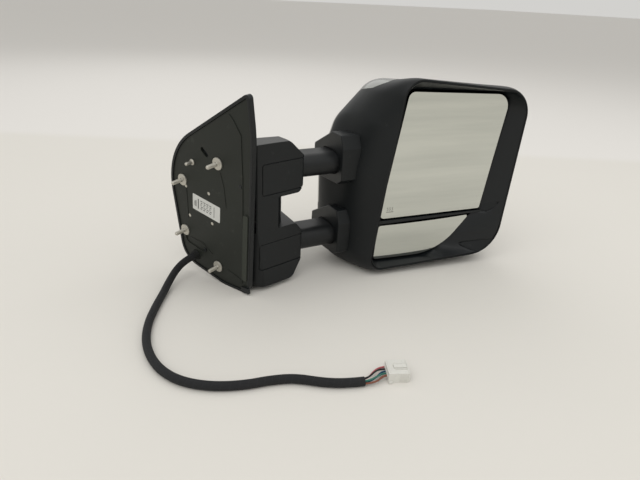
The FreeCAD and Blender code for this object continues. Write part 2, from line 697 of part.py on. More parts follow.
# ---------------------------------------------------------------- head housing
# Outer sections across the head, from the rear rim to the front: depth, then the corners
# lower inboard, lower outboard, upper outboard, upper inboard and the middle of the inboard side.
HEAD_SECTIONS = [
    (0, [(48.5, 9.5, 22), (292, 19, 52), (306, 291, 44), (83, 313, 30), (77.5, 240, 200), (66, 165, 150)]),
    (11, [(38.5, 5, 26), (294, 13, 52), (308, 293, 44), (79, 313, 30), (66, 241, 150), (55, 165, 150)]),
    (33, [(24.5, 0.9, 34), (292, 8, 50), (305, 293, 44), (71, 308, 34), (48, 244, 100), (33, 168, 100)]),
    (71, [(6, -0.3, 36), (280, 7, 52), (293, 290, 46), (68, 303, 38), (29, 242, 70), (12, 165, 80)]),
    (113, [(2, 12, 36), (262, 22, 55), (271, 280, 50), (76, 293, 34), (22, 236, 50), (-2, 162, 50)]),
    (135, [(14, 28, 34), (246, 38, 50), (255, 265, 46), (88, 277, 30), (36, 226, 40), (12, 160, 40)]),
    (145, [(34, 50, 26), (226, 58, 40), (235, 245, 36), (104, 255, 22), (57, 216, 30), (34, 160, 34)]),
]
RIM = -size("rim_depth")
RIM_SHARE = 0.5


def head_body(shrink):
    """The head's outer form as a solid, smaller all round by shrink and open at the rim."""
    wires = []
    for depth, corners in HEAD_SECTIONS:
        if shrink > 0 and depth == 0:
            wires.append(rounded(inset(corners, shrink * RIM_SHARE), RIM - 1, "xz"))
        else:
            wires.append(rounded(inset(corners, shrink), RIM + depth - shrink * depth / 145, "xz"))
    return Part.makeLoft(wires, True, False)


skin = size("skin")
cap_skin = size("cap_skin")
outer = head_body(0)
CAP_REGION = [
    (38, 92, 6), (110, 92, 6), (110, 340, 6), (-32, 340, 6), (-27, 300, 4), (-8, 289, 6), (28, 281, 8),
    (36, 262, 8),
]
cap_zone = slab(CAP_REGION, -60, 360, "yz")
cap_zone_wide = slab(inset(CAP_REGION, -size("seam")), -60, 360, "yz")
housing = outer.cut(head_body(skin)).cut(cap_zone_wide.cut(head_body(cap_skin + size("cap_gap"))))
cap = outer.cut(head_body(cap_skin)).common(cap_zone)

TOP_BEAM = (upper_high + 2.5, upper_high + 18)
MIDDLE_BEAM = (upper_low - 18, upper_low - 3)
LOW_BEAM = (lower_top + 4, lower_top + 16)
FOOT_BEAM = (lower_foot - 16, lower_foot - 4)
POST_SPOTS = [(95, upper_high + 11), (224, upper_high + 11), (95, lower_foot - 9.5), (165, lower_foot - 9.5)]
BEAM_BACK = -15
BEAM_FRONT = -7


def head_rod(spot, radius, start, end):
    """A round bar across the head, between two depths."""
    across, height = spot
    return Part.makeCylinder(radius, end - start, Vector(across, start, height), Vector(0, 1, 0))


posts = [head_rod(spot, 6, BEAM_FRONT, 80).common(head_body(skin - 1)) for spot in POST_SPOTS]
post_holes = [head_rod(spot, 2.5, BEAM_FRONT, 12) for spot in POST_SPOTS]
housing = housing.fuse(posts).cut(post_holes)


def in_head(name, shape):
    """A piece worked out in the head's own frame, seated in the head."""
    thing = feature(name, shape)
    thing.Placement = HEAD
    return thing


housing_openings = [
    oval_bar(f"housing_opening_{side}", "4", "head_start - 30", "100", rise) for side, rise in RISES.items()
]
node("head_housing", cut("head_housing_cut", in_head("head_housing_blank", housing), *housing_openings))
node("front_cap", in_head("front_cap_shape", cap))

# ---------------------------------------------------------------- collars on the tubes
half_flat = size("tube_wide") / 2
COLLAR = [
    (-half_flat - 11, -half_tube - 5.5, 3), (-half_flat + 1, -half_tube - 13.5, 3),
    (half_flat - 1, -half_tube - 16.5, 3), (half_flat + 24, -6, 3), (half_flat + 23, 16, 3),
    (-3, half_tube + 28.5, 3), (-half_flat - 2, half_tube + 28, 3), (-half_flat - 11, half_tube + 7.5, 3),
]
head_solid = head_body(-0.15)
head_solid.Placement = HEAD
wipers = []
for side, rise in RISES.items():
    height = {"lower": lower_axis, "upper": upper_axis}[side]
    start = size("head_start")
    outline = [(a, b + height, radius) for a, b, radius in COLLAR]
    boss = slab(outline, start, start + 70, "yz")
    front_edges = [edge for edge in boss.Edges if edge.BoundBox.XMax < start + 0.01]
    boss = boss.makeChamfer(1.2, front_edges).cut(head_solid)
    node(f"collar_{side}", cut(
        f"collar_{side}_cut",
        feature(f"collar_{side}_blank", boss),
        oval_bar(f"collar_bore_{side}", "1.2", "head_start - 5", "100", rise),
    ))
    wipers.append(cut(
        f"wiper_{side}",
        oval_bar(f"wiper_outer_{side}", "1.2", "head_start + 2", "6", rise),
        oval_bar(f"wiper_inner_{side}", "0.2", "head_start + 1", "10", rise),
    ))
node("tube_wipers", group("tube_wipers_group", *wipers))

# ---------------------------------------------------------------- glass surround
RIM_CORNERS = [
    (48.5, 9.5, 22), (180, 14.5, 400), (292, 19, 52), (296.6, 85, 200), (297.9, 118, 200), (301, 180, 800),
    (306, 291, 44), (83, 313, 30), (77.5, 240, 200), (66, 165, 150),
]
LOW_SIDE = [(63.5, 17.3, 8), (164.6, 19, 100), (206.3, 38.6, 100)]
HIGH_SIDE = [(272, 180, 400), (286, 287, 26), (98, 293.5, 14)]
OPENING = [*LOW_SIDE, (248, 87, 3), (260.5, 90.5, 3), *HIGH_SIDE, (89.2, 240, 100), (66.3, 89, 60)]
UPPER_OPENING = [(66.3, 88.4, 11), (261.2, 91.6, 7), *HIGH_SIDE]
LOWER_OPENING = [*LOW_SIDE[:2], (205.4, 39.4, 100), (249.2, 87.3, 6), (66.6, 82.6, 10)]
GIMBAL = -size("gimbal_depth")
backing_back = GIMBAL - size("gimbal_gap")
heater_back = backing_back - size("backing_thick")
glass_back = heater_back - size("heater_thick")
GLASS_FACE = glass_back - size("glass_thick")
SURROUND_BACK = GLASS_FACE + 4


def pocket_outline(depth, grow):
    """Outline of the pocket at a depth on its straight way from the rim to the glasses."""
    mouth = inset(RIM_CORNERS, size("lip") - grow)
    throat = inset(OPENING, -grow)
    share = (depth - RIM) / (SURROUND_BACK - RIM)
    corners = [
        tuple(a + (b - a) * share for a, b in zip(front, back)) for front, back in zip(mouth, throat)
    ]
    return rounded([(a, b, max(radius, 1)) for a, b, radius in corners], depth, "xz")


def pocket_block(start, end, grow):
    """The pocket between two depths as a solid, larger all round by grow."""
    return Part.makeLoft([pocket_outline(start, grow), pocket_outline(end, grow)], True, True)


surround_wall = size("lip") - skin * RIM_SHARE - 0.35
surround_outer = pocket_block(RIM + 0.6, SURROUND_BACK, surround_wall)
DIVIDER = [(50, 82.6, 0.5), (280, 88.9, 0.5), (280, 91.9, 0.5), (50, 88.4, 0.5)]
divider = slab(DIVIDER, GLASS_FACE - 2, SURROUND_BACK, "xz")
surround_wall_only = surround_outer.cut(pocket_block(RIM - 3, SURROUND_BACK + 3, 0))
surround = surround_wall_only.fuse(divider.common(surround_outer))
node("glass_surround", in_head("glass_surround_shape", surround))

# ---------------------------------------------------------------- glasses, heaters and backings
UPPER_GLASS = inset(UPPER_OPENING, size("glass_gap"))
LOWER_GLASS = inset(LOWER_OPENING, size("glass_gap"))
UPPER_CENTRE = (172, 191)
LOWER_CENTRE = (140, 53)
EAR_INNER = 7.5
EAR_OUTER = 11.5
EAR_RADIUS = 3.5
ACTUATOR_FACE = GIMBAL + 7
BALL_DEPTH = GIMBAL - 2

trunnion = size("trunnion") / 2
bore = trunnion + size("trunnion_fit")
drive = size("drive_radius")
rod_radius = size("drive_rod") / 2
ball_radius = size("drive_ball") / 2


def trunnion_bar(centre, radius, start, end, axis):
    """A round bar through a gimbal's centre, along the pan axis z or the tilt axis x."""
    middle = Vector(centre[0], GIMBAL, centre[1])
    return Part.makeCylinder(radius, end - start, middle + axis * start, axis)


PAN = Vector(0, 0, 1)
TILT = Vector(1, 0, 0)


def ears(centre, axis, root):
    """Two bored ears that hold the trunnions, standing on a face at depth root."""
    cross = TILT if axis == PAN else PAN
    lugs = []
    for start in (EAR_INNER, -EAR_OUTER):
        corner = Vector(centre[0], min(root, GIMBAL), centre[1]) + axis * start - cross * EAR_RADIUS
        diagonal = axis * (EAR_OUTER - EAR_INNER) + cross * 2 * EAR_RADIUS
        stem = Part.makeBox(diagonal.x, abs(GIMBAL - root), diagonal.z, corner)
        lugs.append(stem.fuse(trunnion_bar(centre, EAR_RADIUS, start, start + EAR_OUTER - EAR_INNER, axis)))
    return lugs


def gimbal_cross(centre):
    """The cross between the two tilt axes of a glass."""
    middle = Vector(centre[0] - 4.5, GIMBAL - 4.5, centre[1] - 4.5)
    reach = size("trunnion_reach")
    bars = [trunnion_bar(centre, trunnion, -reach, reach, axis) for axis in (PAN, TILT)]
    return Part.makeBox(9, 9, 9, middle).fuse(bars).removeSplitter()


def backing(outline, centre, cups):
    """A glass's backing plate with the ears on its tilt axis and cups for the drive rods."""
    body = slab(inset(outline, 1), heater_back, backing_back, "xz")
    stiffener = slab(inset(outline, 9), heater_back, backing_back + 1.5, "xz")
    core = slab(inset(outline, 14), heater_back, backing_back + 1.5, "xz")
    body = body.fuse(stiffener.cut(core))
    body = body.fuse(ears(centre, TILT, backing_back))
    for cup in cups:
        body = body.fuse(head_rod(cup, 7, backing_back, backing_back + 5.5))
    cup_bore = ball_radius + size("ball_play")
    body = body.cut([head_rod(cup, cup_bore, backing_back, backing_back + 6) for cup in cups])
    return body.cut(trunnion_bar(centre, bore, -EAR_OUTER - 1, EAR_OUTER + 1, TILT)).removeSplitter()


upper_cups = [(UPPER_CENTRE[0], UPPER_CENTRE[1] - drive), (UPPER_CENTRE[0] + drive, UPPER_CENTRE[1])]
node("glass_upper", in_head("glass_upper_shape", slab(UPPER_GLASS, GLASS_FACE, glass_back, "xz")))
upper_pad = slab(inset(UPPER_GLASS, 6), glass_back, heater_back, "xz")
node("heater_upper", in_head("heater_upper_shape", upper_pad))
node("backing_upper", in_head("backing_upper_shape", backing(UPPER_GLASS, UPPER_CENTRE, upper_cups)))
node("gimbal_upper", in_head("gimbal_upper_shape", gimbal_cross(UPPER_CENTRE)))

crown = 2.2
ball_centre = Vector(150, GLASS_FACE - crown + size("spotter_radius"), 53)
spotter = slab(LOWER_GLASS, GLASS_FACE - crown - 1, glass_back, "xz").common(
    Part.makeSphere(size("spotter_radius"), ball_centre))
node("glass_lower", in_head("glass_lower_shape", spotter))
lower_pad = slab(inset(LOWER_GLASS, 3.5), glass_back, heater_back, "xz")
node("heater_lower", in_head("heater_lower_shape", lower_pad))
node("backing_lower", in_head("backing_lower_shape", backing(LOWER_GLASS, LOWER_CENTRE, [])))
node("gimbal_lower", in_head("gimbal_lower_shape", gimbal_cross(LOWER_CENTRE)))

# ---------------------------------------------------------------- actuator and lower pivot mount
actuator_radius = size("drive_radius_body")
ACTUATOR_SCREWS = [
    (UPPER_CENTRE[0] + across, height)
    for across in (-28, 28) for height in (upper_high + 10.5, upper_low - 10.5)
]
SCREW_SEAT = BEAM_BACK - 5
LUG = [(137, upper_low - 17, 5), (207, upper_low - 17, 5), (207, upper_low + 17, 5), (137, upper_low + 17, 5)]
case = head_rod(UPPER_CENTRE, actuator_radius, ACTUATOR_FACE, BEAM_BACK - 2)
hollow = head_rod(UPPER_CENTRE, actuator_radius - 2, ACTUATOR_FACE + 2, BEAM_BACK)
screw_bosses = [head_rod(spot, 4.9, ACTUATOR_FACE, BEAM_BACK - 2) for spot in ACTUATOR_SCREWS[::2]]
rod_guides = [head_rod(cup, rod_radius + 2.5, ACTUATOR_FACE, BEAM_BACK - 2) for cup in upper_cups]
lug = slab(LUG, SCREW_SEAT, BEAM_BACK - 2, "xz")
case = case.fuse(lug).cut(hollow).fuse(screw_bosses + rod_guides + ears(UPPER_CENTRE, PAN, ACTUATOR_FACE))
case = case.cut(
    [head_rod(spot, 2, ACTUATOR_FACE - 1, BEAM_BACK) for spot in ACTUATOR_SCREWS]
    + [head_rod(spot, 3.6, ACTUATOR_FACE - 1, SCREW_SEAT) for spot in ACTUATOR_SCREWS]
    + [head_rod(cup, rod_radius + 0.05, ACTUATOR_FACE - 1, BEAM_BACK) for cup in upper_cups]
    + [trunnion_bar(UPPER_CENTRE, bore, -EAR_OUTER - 1, EAR_OUTER + 1, PAN)]
).removeSplitter()
node("actuator_case", in_head("actuator_case_shape", case))
lid = head_rod(UPPER_CENTRE, actuator_radius, BEAM_BACK - 2, BEAM_BACK)
lid = lid.fuse(slab(LUG, BEAM_BACK - 2, BEAM_BACK, "xz"))
lid = lid.cut([head_rod(spot, 2, BEAM_BACK - 3, BEAM_BACK + 1) for spot in ACTUATOR_SCREWS])
node("actuator_lid", in_head("actuator_lid_shape", lid))

motors = []
for height in (UPPER_CENTRE[1] - 12, UPPER_CENTRE[1] + 14):
    start = Vector(UPPER_CENTRE[0] - 21, BEAM_BACK - 8.1, height)
    motor = Part.makeCylinder(5.8, 22, start, TILT).fuse(Part.makeCylinder(1.2, 6, start + TILT * 22, TILT))
    motors.append(in_head("drive_motor", motor.removeSplitter()))
node("drive_motors", group("drive_motors_group", *motors))

for name, cup in zip(("tilt", "pan"), upper_cups):
    bar = head_rod(cup, rod_radius, BALL_DEPTH, BEAM_BACK - 7).fuse(
        Part.makeSphere(ball_radius, Vector(cup[0], BALL_DEPTH, cup[1]))).removeSplitter()
    node(f"drive_rod_{name}", in_head(f"drive_rod_{name}_shape", bar))

MOUNT_SCREWS = [(LOWER_CENTRE[0], lower_top + 9), (LOWER_CENTRE[0], lower_foot - 10)]
mount = slab([(120, 24, 5), (160, 24, 5), (160, 90, 5), (120, 90, 5)], BEAM_BACK - 5, BEAM_BACK, "xz").fuse(
    [head_rod(LOWER_CENTRE, 16, ACTUATOR_FACE, BEAM_BACK)] + ears(LOWER_CENTRE, PAN, ACTUATOR_FACE))
mount = mount.cut(
    [head_rod(spot, 2, BEAM_BACK - 6, BEAM_BACK + 1) for spot in MOUNT_SCREWS]
    + [trunnion_bar(LOWER_CENTRE, bore, -EAR_OUTER - 1, EAR_OUTER + 1, PAN)]).removeSplitter()
node("lower_pivot_mount", in_head("lower_pivot_mount_shape", mount))

# ---------------------------------------------------------------- carrier with the tube guides
GUIDE_WALL = 2.5
bush_out = "tube_fit + bush_wall"
blocks = []
for side, rise in RISES.items():
    half_wide = f"(tube_wide / 2 + {bush_out} + {GUIDE_WALL})"
    half_tall = f"(tube_tall / 2 + {bush_out} + {GUIDE_WALL})"
    blocks.append(box(
        f"guide_block_{side}", "guide_length", f"2 * {half_wide}", f"2 * {half_tall}",
        (GUIDE_START, f"-{half_wide}", f"{rise} - {half_tall}"),
    ))
stem = box("carrier_stem", "guide_length", "22", "tube_spacing", (GUIDE_START, "-10", "lower_tube_rise"))
beam_deep = BEAM_FRONT - BEAM_BACK
beam_rows = {
    "top": (*TOP_BEAM, 46, 232), "middle": (*MIDDLE_BEAM, 46, 214),
    "low": (*LOW_BEAM, 46, 172), "foot": (*FOOT_BEAM, 46, 172),
}
beams = [
    in_head(f"beam_{name}", Part.makeBox(end - start, beam_deep, high - low, Vector(start, BEAM_BACK, low)))
    for name, (low, high, start, end) in beam_rows.items()
]
carrier_spots = [(spot, 2) for spot in ACTUATOR_SCREWS + MOUNT_SCREWS] + [(spot, 2.5) for spot in POST_SPOTS]
carrier_holes = [
    in_head(f"carrier_hole_{index}", head_rod(spot, radius, BEAM_BACK - 1, BEAM_FRONT + 1))
    for index, (spot, radius) in enumerate(carrier_spots)
]
guide_bores = [
    oval_bar(f"guide_bore_{side}", bush_out, f"{GUIDE_START} - 1", "guide_length + 2", rise)
    for side, rise in RISES.items()
]
carrier_blank = fuse("head_carrier_fuse", *blocks, stem, *beams)
node("head_carrier", cut("head_carrier_cut", carrier_blank, *guide_bores, *carrier_holes))

bushes = []
for side, rise in RISES.items():
    for end, start in (("inner", GUIDE_START), ("outer", f"{GUIDE_START} + guide_length - bush_length")):
        bushes.append(cut(
            f"bush_{side}_{end}",
            oval_bar(f"bush_{side}_{end}_body", bush_out, start, "bush_length", rise),
            oval_bar(f"bush_{side}_{end}_bore", "tube_fit", f"{start} - 1", "bush_length + 2", rise),
        ))
node("guide_bushes", group("guide_bushes_group", *bushes))


def head_screws(label, spots, radius, seat, tip):
    """A node of pan-head screws from a seat to a tip."""
    made = []
    for spot in spots:
        shank = head_rod(spot, radius, seat, tip)
        screw = shank.fuse(head_rod(spot, radius * 1.75, seat - radius * 1.2, seat))
        made.append(in_head(label + "_screw", screw.removeSplitter()))
    node(label, group(label + "_group", *made))


head_screws("actuator_screws", ACTUATOR_SCREWS, 2, SCREW_SEAT, BEAM_FRONT)
head_screws("pivot_mount_screws", MOUNT_SCREWS, 2, BEAM_BACK - 5, BEAM_FRONT)
head_screws("housing_screws", POST_SPOTS, 2.5, BEAM_BACK, 8)

# ---------------------------------------------------------------- wiring
GROMMET_NOSE = tuple(PLATE.multVec(Vector(*EXIT_SPOT, -7)))
LOOM_ROUTE = [
    GROMMET_NOSE, (-112, 36, 29.4), (-128, 28, 21), (-143, 14, 10.5), (-157, -8, 5.6), (-176, -42, 5.5),
    (-194, -80, 5.5), (-204, -118, 5.5), (-205, -152, 5.5), (-199, -183, 5.5), (-183, -211, 5.5),
    (-155, -233, 5.5), (-121, -246, 5.5), (-88, -251, 5.5), (-62, -260, 5.5), (-38, -279, 5.5),
    (-14, -292, 5.5),
    (7.6, -298, 5.5),
]


def swept(points, radius, name):
    """A round bar along straight runs joined by the largest tangent arcs that fit."""
    spots = [Vector(*point) for point in points]
    edges = []
    start = spots[0]
    radii = []
    for before, here, after in zip(spots, spots[1:], spots[2:]):
        back = (before - here).normalize()
        on = (after - here).normalize()
        half = back.getAngle(on) / 2
        run = 0.45 * min((before - here).Length, (after - here).Length)
        bend = run * math.tan(half)
        radii.append(bend)
        middle = here + (back + on).normalize() * (bend / math.sin(half) - bend)
        edges.append(Part.LineSegment(start, here + back * run).toShape())
        edges.append(Part.Arc(here + back * run, middle, here + on * run).toShape())
        start = here + on * run
    edges.append(Part.LineSegment(start, spots[-1]).toShape())
    path = Part.Wire(edges)
    section = Part.Wire(Part.makeCircle(radius, spots[0], spots[1] - spots[0]))
    body = path.makePipeShell([section], True, True)
    print(f"{name}: length {path.Length:.1f} mm, radii", [round(bend) for bend in radii],
          f"volume {body.Volume / (math.pi * radius ** 2 * path.Length):.4f} of section times length")
    return body


node("wiring_loom", feature("wiring_loom_shape", swept(LOOM_ROUTE, size("loom_thick") / 2, "wiring_loom")))

# The connector lies on its flat side; its own frame has x along the wires' way and z up.
CONNECTOR_SEAT = Placement(Vector(41, -294.5, 0), Rotation(Vector(0, 0, 1), -23))
connector_long = size("connector_long")
connector_wide = size("connector_wide")
connector_tall = size("connector_tall")
half_wide = connector_wide / 2
side_outline = [
    (0, -half_wide, 1.5), (connector_long, -half_wide, 1.5), (connector_long, half_wide, 1.5),
    (0, half_wide, 1.5),
]
body = slab(side_outline, 0, connector_tall)
socket = slab(inset(side_outline, 2), 2, connector_tall - 2).common(
    Part.makeBox(connector_long, 60, 60, Vector(connector_long * 0.45, -30, 0)))
mouth = Part.makeBox(5, connector_wide - 4, connector_tall - 4, Vector(connector_long - 4, 2 - half_wide, 2))
body = body.cut([socket, mouth])
latch = Part.makeBox(connector_long * 0.6, 7, 1.6, Vector(connector_long * 0.3, -3.5, connector_tall))
node("connector", feature("connector_shape", body.fuse(latch).removeSplitter()), CONNECTOR_SEAT)

wire_radius = size("wire_thick") / 2
loom_end = Vector(*LOOM_ROUTE[-1])
loom_way = (loom_end - Vector(*LOOM_ROUTE[-2])).normalize()
loom_side = Vector(-loom_way.y, loom_way.x, 0)
wires = []
WIRE_STEPS = [(3.4, 0, 3), (1.6, 2.6, 1), (0.2, -2.2, -2), (-1.8, 1.6, 2), (-3.6, -0.6, -3)]
for index, (side_step, height_step, bow) in enumerate(WIRE_STEPS):
    leave = loom_end + loom_side * side_step + Vector(0, 0, height_step)
    enter = CONNECTOR_SEAT.multVec(Vector(0, 8 - 4 * index, connector_tall / 2))
    ahead = CONNECTOR_SEAT.Rotation.multVec(Vector(1, 0, 0))
    middle = (leave + enter) * 0.5 + loom_side * bow
    route = [leave, leave + loom_way * 6, middle, enter - ahead * 6, enter]
    name = f"wire_{index}"
    wires.append(feature(name, swept([tuple(spot) for spot in route], wire_radius, name)))
node("connector_wires", group("connector_wires_group", *wires))


# ---------------------------------------------------------------- checks and export
doc.recompute()
for thing in doc.Objects:
    if any(word in thing.State for word in ("Invalid", "Error")):
        raise RuntimeError(f"{thing.Name} ({thing.Label}) failed: {thing.State}")
for thing in NODES:
    if thing.Shape.isNull() or not thing.Shape.isValid():
        raise RuntimeError(f"{thing.Label} has no valid shape")
    if not thing.Shape.Solids:
        raise RuntimeError(f"{thing.Label} holds no solid")

os.makedirs("parts", exist_ok=True)
for thing in NODES:
    thing.Shape.exportStep(os.path.join("parts", thing.Label + ".step"))
    box_of = thing.Shape.BoundBox
    print(
        f"{thing.Label:24s} solids {len(thing.Shape.Solids)} volume {thing.Shape.Volume / 1000:8.2f} cm3 "
        f"X {box_of.XMin:7.1f} {box_of.XMax:7.1f}  Y {box_of.YMin:7.1f} {box_of.YMax:7.1f}  "
        f"Z {box_of.ZMin:6.1f} {box_of.ZMax:6.1f}"
    )
print(len(NODES), "nodes written")
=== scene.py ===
"""Towing mirror: finishes, fine parts, wiring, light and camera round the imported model."""
import json
import math

import bmesh
import bpy
from mathutils import Matrix, Vector


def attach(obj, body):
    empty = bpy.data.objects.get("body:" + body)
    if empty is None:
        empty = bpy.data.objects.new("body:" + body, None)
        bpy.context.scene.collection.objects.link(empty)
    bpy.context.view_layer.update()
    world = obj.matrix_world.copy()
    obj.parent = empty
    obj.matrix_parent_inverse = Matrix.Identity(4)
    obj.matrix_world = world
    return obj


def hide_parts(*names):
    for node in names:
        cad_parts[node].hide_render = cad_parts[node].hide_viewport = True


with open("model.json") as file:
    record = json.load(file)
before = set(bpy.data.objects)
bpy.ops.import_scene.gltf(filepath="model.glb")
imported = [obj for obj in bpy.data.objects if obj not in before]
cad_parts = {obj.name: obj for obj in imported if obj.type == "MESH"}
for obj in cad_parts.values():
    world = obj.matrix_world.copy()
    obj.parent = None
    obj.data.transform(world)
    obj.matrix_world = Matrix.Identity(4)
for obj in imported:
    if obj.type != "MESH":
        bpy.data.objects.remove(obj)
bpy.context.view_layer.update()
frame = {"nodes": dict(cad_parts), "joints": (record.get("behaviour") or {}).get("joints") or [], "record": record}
NODES = frame["nodes"]

# ---------------------------------------------------------------- shared places, in metres
MM = 0.001
FOLD = next(joint for joint in frame["joints"] if joint["name"] == "fold")
PIVOT_IN_BRACKET = Vector((-5, -12, 0)) * MM  # the fold's axis, from the bracket's own origin
ORIGIN_SHIFT = Vector((*FOLD["pos_m"][:2], 0)) - PIVOT_IN_BRACKET


def from_bracket(x, y, z):
    """A point given in millimetres from the bracket, in the model's frame."""
    return Vector((x, y, z)) * MM + ORIGIN_SHIFT


# DOOR, HEAD and CONNECTOR are matrices whose own axes count in millimetres.
DOOR_SPOT = from_bracket(-44, -80, 161.3)
DOOR_TURN = math.radians(25)
DOOR_LEAN = math.radians(-5)
NEXT_AXIS = Matrix.Rotation(math.radians(120), 4, Vector((1, 1, 1)))  # takes x to y, y to z and z to x
HEAD_SPOT = from_bracket(115, 0, 0)
HEAD_TURN = math.radians(-8)
CONNECTOR_SPOT = from_bracket(41, -294.5, 0)
CONNECTOR_TURN = math.radians(-23)
# The door face: x towards the vehicle's front, y up the face, z outboard.
DOOR = (
    Matrix.Translation(DOOR_SPOT) @ Matrix.Rotation(DOOR_TURN, 4, "Z") @ NEXT_AXIS
    @ Matrix.Rotation(DOOR_LEAN, 4, "X") @ Matrix.Scale(MM, 4)
)
# The head: x outboard across the glass, y forward, z up.
HEAD = Matrix.Translation(HEAD_SPOT) @ Matrix.Rotation(HEAD_TURN, 4, "Z") @ Matrix.Scale(MM, 4)
# The connector: x along the wires' way, z up from the floor.
CONNECTOR = (
    Matrix.Translation(CONNECTOR_SPOT) @ Matrix.Rotation(CONNECTOR_TURN, 4, "Z")
    @ Matrix.Scale(MM, 4)
)


# ---------------------------------------------------------------- shader maths
class Socket:
    """A shader output with the usual operators, each adding a Math node."""

    def __init__(self, tree, output):
        self.tree = tree
        self.output = output

    def maths(self, operation, *others, flip=False):
        values = [self, *others]
        if flip:
            values.reverse()
        return self.tree.node("Math", {"operation": operation}, *values)

    def __add__(self, other):
        return self.maths("ADD", other)

    def __sub__(self, other):
        return self.maths("SUBTRACT", other)

    def __mul__(self, other):
        return self.maths("MULTIPLY", other)

    def __gt__(self, other):
        return self.maths("GREATER_THAN", other)

    def __rsub__(self, other):
        return self.maths("SUBTRACT", other, flip=True)

    __radd__ = __add__
    __rmul__ = __mul__


# The Mix node's sockets for colours.
MIX_SHARE, MIX_FIRST, MIX_SECOND = 0, 6, 7
MIX_RESULT = 2


class Finish:
    """A material built from its nodes."""

    def __init__(self, name):
        self.material = bpy.data.materials.new(name)
        self.material.use_nodes = True
        self.nodes = self.material.node_tree.nodes
        self.links = self.material.node_tree.links
        self.shader = self.nodes["Principled BSDF"]

    def node(self, kind, settings=None, *values, out=0, **named):
        """One node; values go to its inputs in order, named ones by name."""
        made = self.nodes.new("ShaderNode" + kind)
        for name, value in (settings or {}).items():
            setattr(made, name, value)
        for key, value in [*enumerate(values), *named.items()]:
            target = made.inputs[key if isinstance(key, int) else key.replace("_", " ")]
            self.feed(target, value)
        return Socket(self, made.outputs[out])

    def feed(self, target, value):
        """Link a socket, or write a value; a colour gets its alpha."""
        if isinstance(value, Socket):
            self.links.new(value.output, target)
        elif isinstance(value, tuple) and target.type == "RGBA":
            target.default_value = (*value, 1)
        elif value is not None:
            target.default_value = value

    def mix(self, share, first, second):
        """A colour between two."""
        made = self.nodes.new("ShaderNodeMix")
        made.data_type = "RGBA"
        for place, value in ((MIX_SHARE, share), (MIX_FIRST, first), (MIX_SECOND, second)):
            self.feed(made.inputs[place], value)
        return Socket(self, made.outputs[MIX_RESULT])

    def spot(self, turn=(0, 0, 0), scale=(1, 1, 1)):
        """Coordinates on the piece, in metres before the turn and the scale."""
        return self.node("Mapping", None, self.node("TexCoord", out="Object"), Rotation=turn, Scale=scale)

    def noise(self, scale, detail=2.0, rough=0.5, spot=None):
        spot = spot or self.spot()
        return self.node("TexNoise", None, Vector=spot, Scale=scale, Detail=detail, Roughness=rough)

    def bump(self, height, depth, strength=1.0, under=None):
        return self.node("Bump", None, Strength=strength, Distance=depth, Height=height, Normal=under)

    def soft_edges(self, radius):
        """Normals that round sharp edges over."""
        return self.node("Bevel", {"samples": 6}, radius)

    def surface(self, **sockets):
        """Set the shader's own sockets."""
        for name, value in sockets.items():
            self.feed(self.shader.inputs[name.replace("_", " ")], value)
        return self.material


# ---------------------------------------------------------------- camera and wiring
CAMERA_SPOT = from_bracket(-285, -700, 410)
CAMERA_RIGHT = Vector((0.8826, -0.4680, 0.0457))
CAMERA_UP = Vector((0.1587, 0.3885, 0.9079))
SENSOR_WIDTH = 36
LENS = 29.81


def build_camera():
    """The camera: it keeps its sideways direction, and its upward one is squared to that."""
    data = bpy.data.cameras.new("camera")
    data.sensor_width = SENSOR_WIDTH
    data.lens = LENS
    camera = bpy.data.objects.new("camera", data)
    bpy.context.scene.collection.objects.link(camera)
    right = CAMERA_RIGHT
    up = (CAMERA_UP - right * CAMERA_UP.dot(right) / right.length_squared).normalized()
    right = right.normalized()
    turn = Matrix((right, up, right.cross(up))).transposed()
    camera.matrix_world = Matrix.Translation(CAMERA_SPOT) @ turn.to_4x4()
    bpy.context.scene.camera = camera


def round_line(name, points, radius, roundness):
    """A round cord along a smooth line, from control points in the model's frame."""
    data = bpy.data.curves.new(name, "CURVE")
    data.dimensions = "3D"
    data.bevel_depth = radius
    data.bevel_resolution = roundness
    data.resolution_u = 12
    data.use_fill_caps = True
    line = data.splines.new("NURBS")
    line.points.add(len(points) - 1)
    for spot, point in zip(line.points, points):
        spot.co = (*point, 1)
    line.order_u = 3
    line.use_endpoint_u = True
    thing = bpy.data.objects.new(name, data)
    bpy.context.scene.collection.objects.link(thing)
    return thing


build_camera()

# The loom: from the grommet on the door face down to the floor and along it.
LOOM_RADIUS = 5.5 * MM
LOOM_LENGTH = 0.515
LOOM_ROUTE = [from_bracket(*point) for point in [
    (-96.68, 43.29, 31.18), (-112, 36, 29.4), (-128, 28, 21), (-143, 14, 10.5), (-157, -8, 5.6),
    (-176, -42, 5.5), (-194, -80, 5.5), (-204, -118, 5.5), (-205, -152, 5.5), (-199, -183, 5.5),
    (-183, -211, 5.5), (-155, -233, 5.5), (-121, -246, 5.5), (-88, -251, 5.5), (-62, -260, 5.5),
    (-38, -279, 5.5), (-14, -292, 5.5), (7.6, -298, 5.5),
]]
loom = round_line("taped_loom", LOOM_ROUTE, LOOM_RADIUS, 8)

# The wires: colour, step to the side, step up, sideways bow and upward bow, in millimetres.
WIRES = [
    ("red", 3.4, 0, 3, 1), ("black", 1.6, 2.6, 1, 3.4), ("blue", 0.2, -2.2, -2, 0.5),
    ("green", -1.8, 1.6, -1, 1.6), ("brown", -3.6, -0.6, -3, 0),
]
WIRE_RADIUS = 1.1 * MM
WIRE_SPACING = 4
WIRE_LEVEL = 6.5
WIRE_DEPTH = 0.6  # how far a wire reaches into the connector
WIRE_TUCK = 4  # how far it starts inside the tape
WIRE_LEAVE = 5  # how far it runs straight out of the tape
WIRE_ENTER = 6  # and straight into the connector
UP = Vector((0, 0, 1))


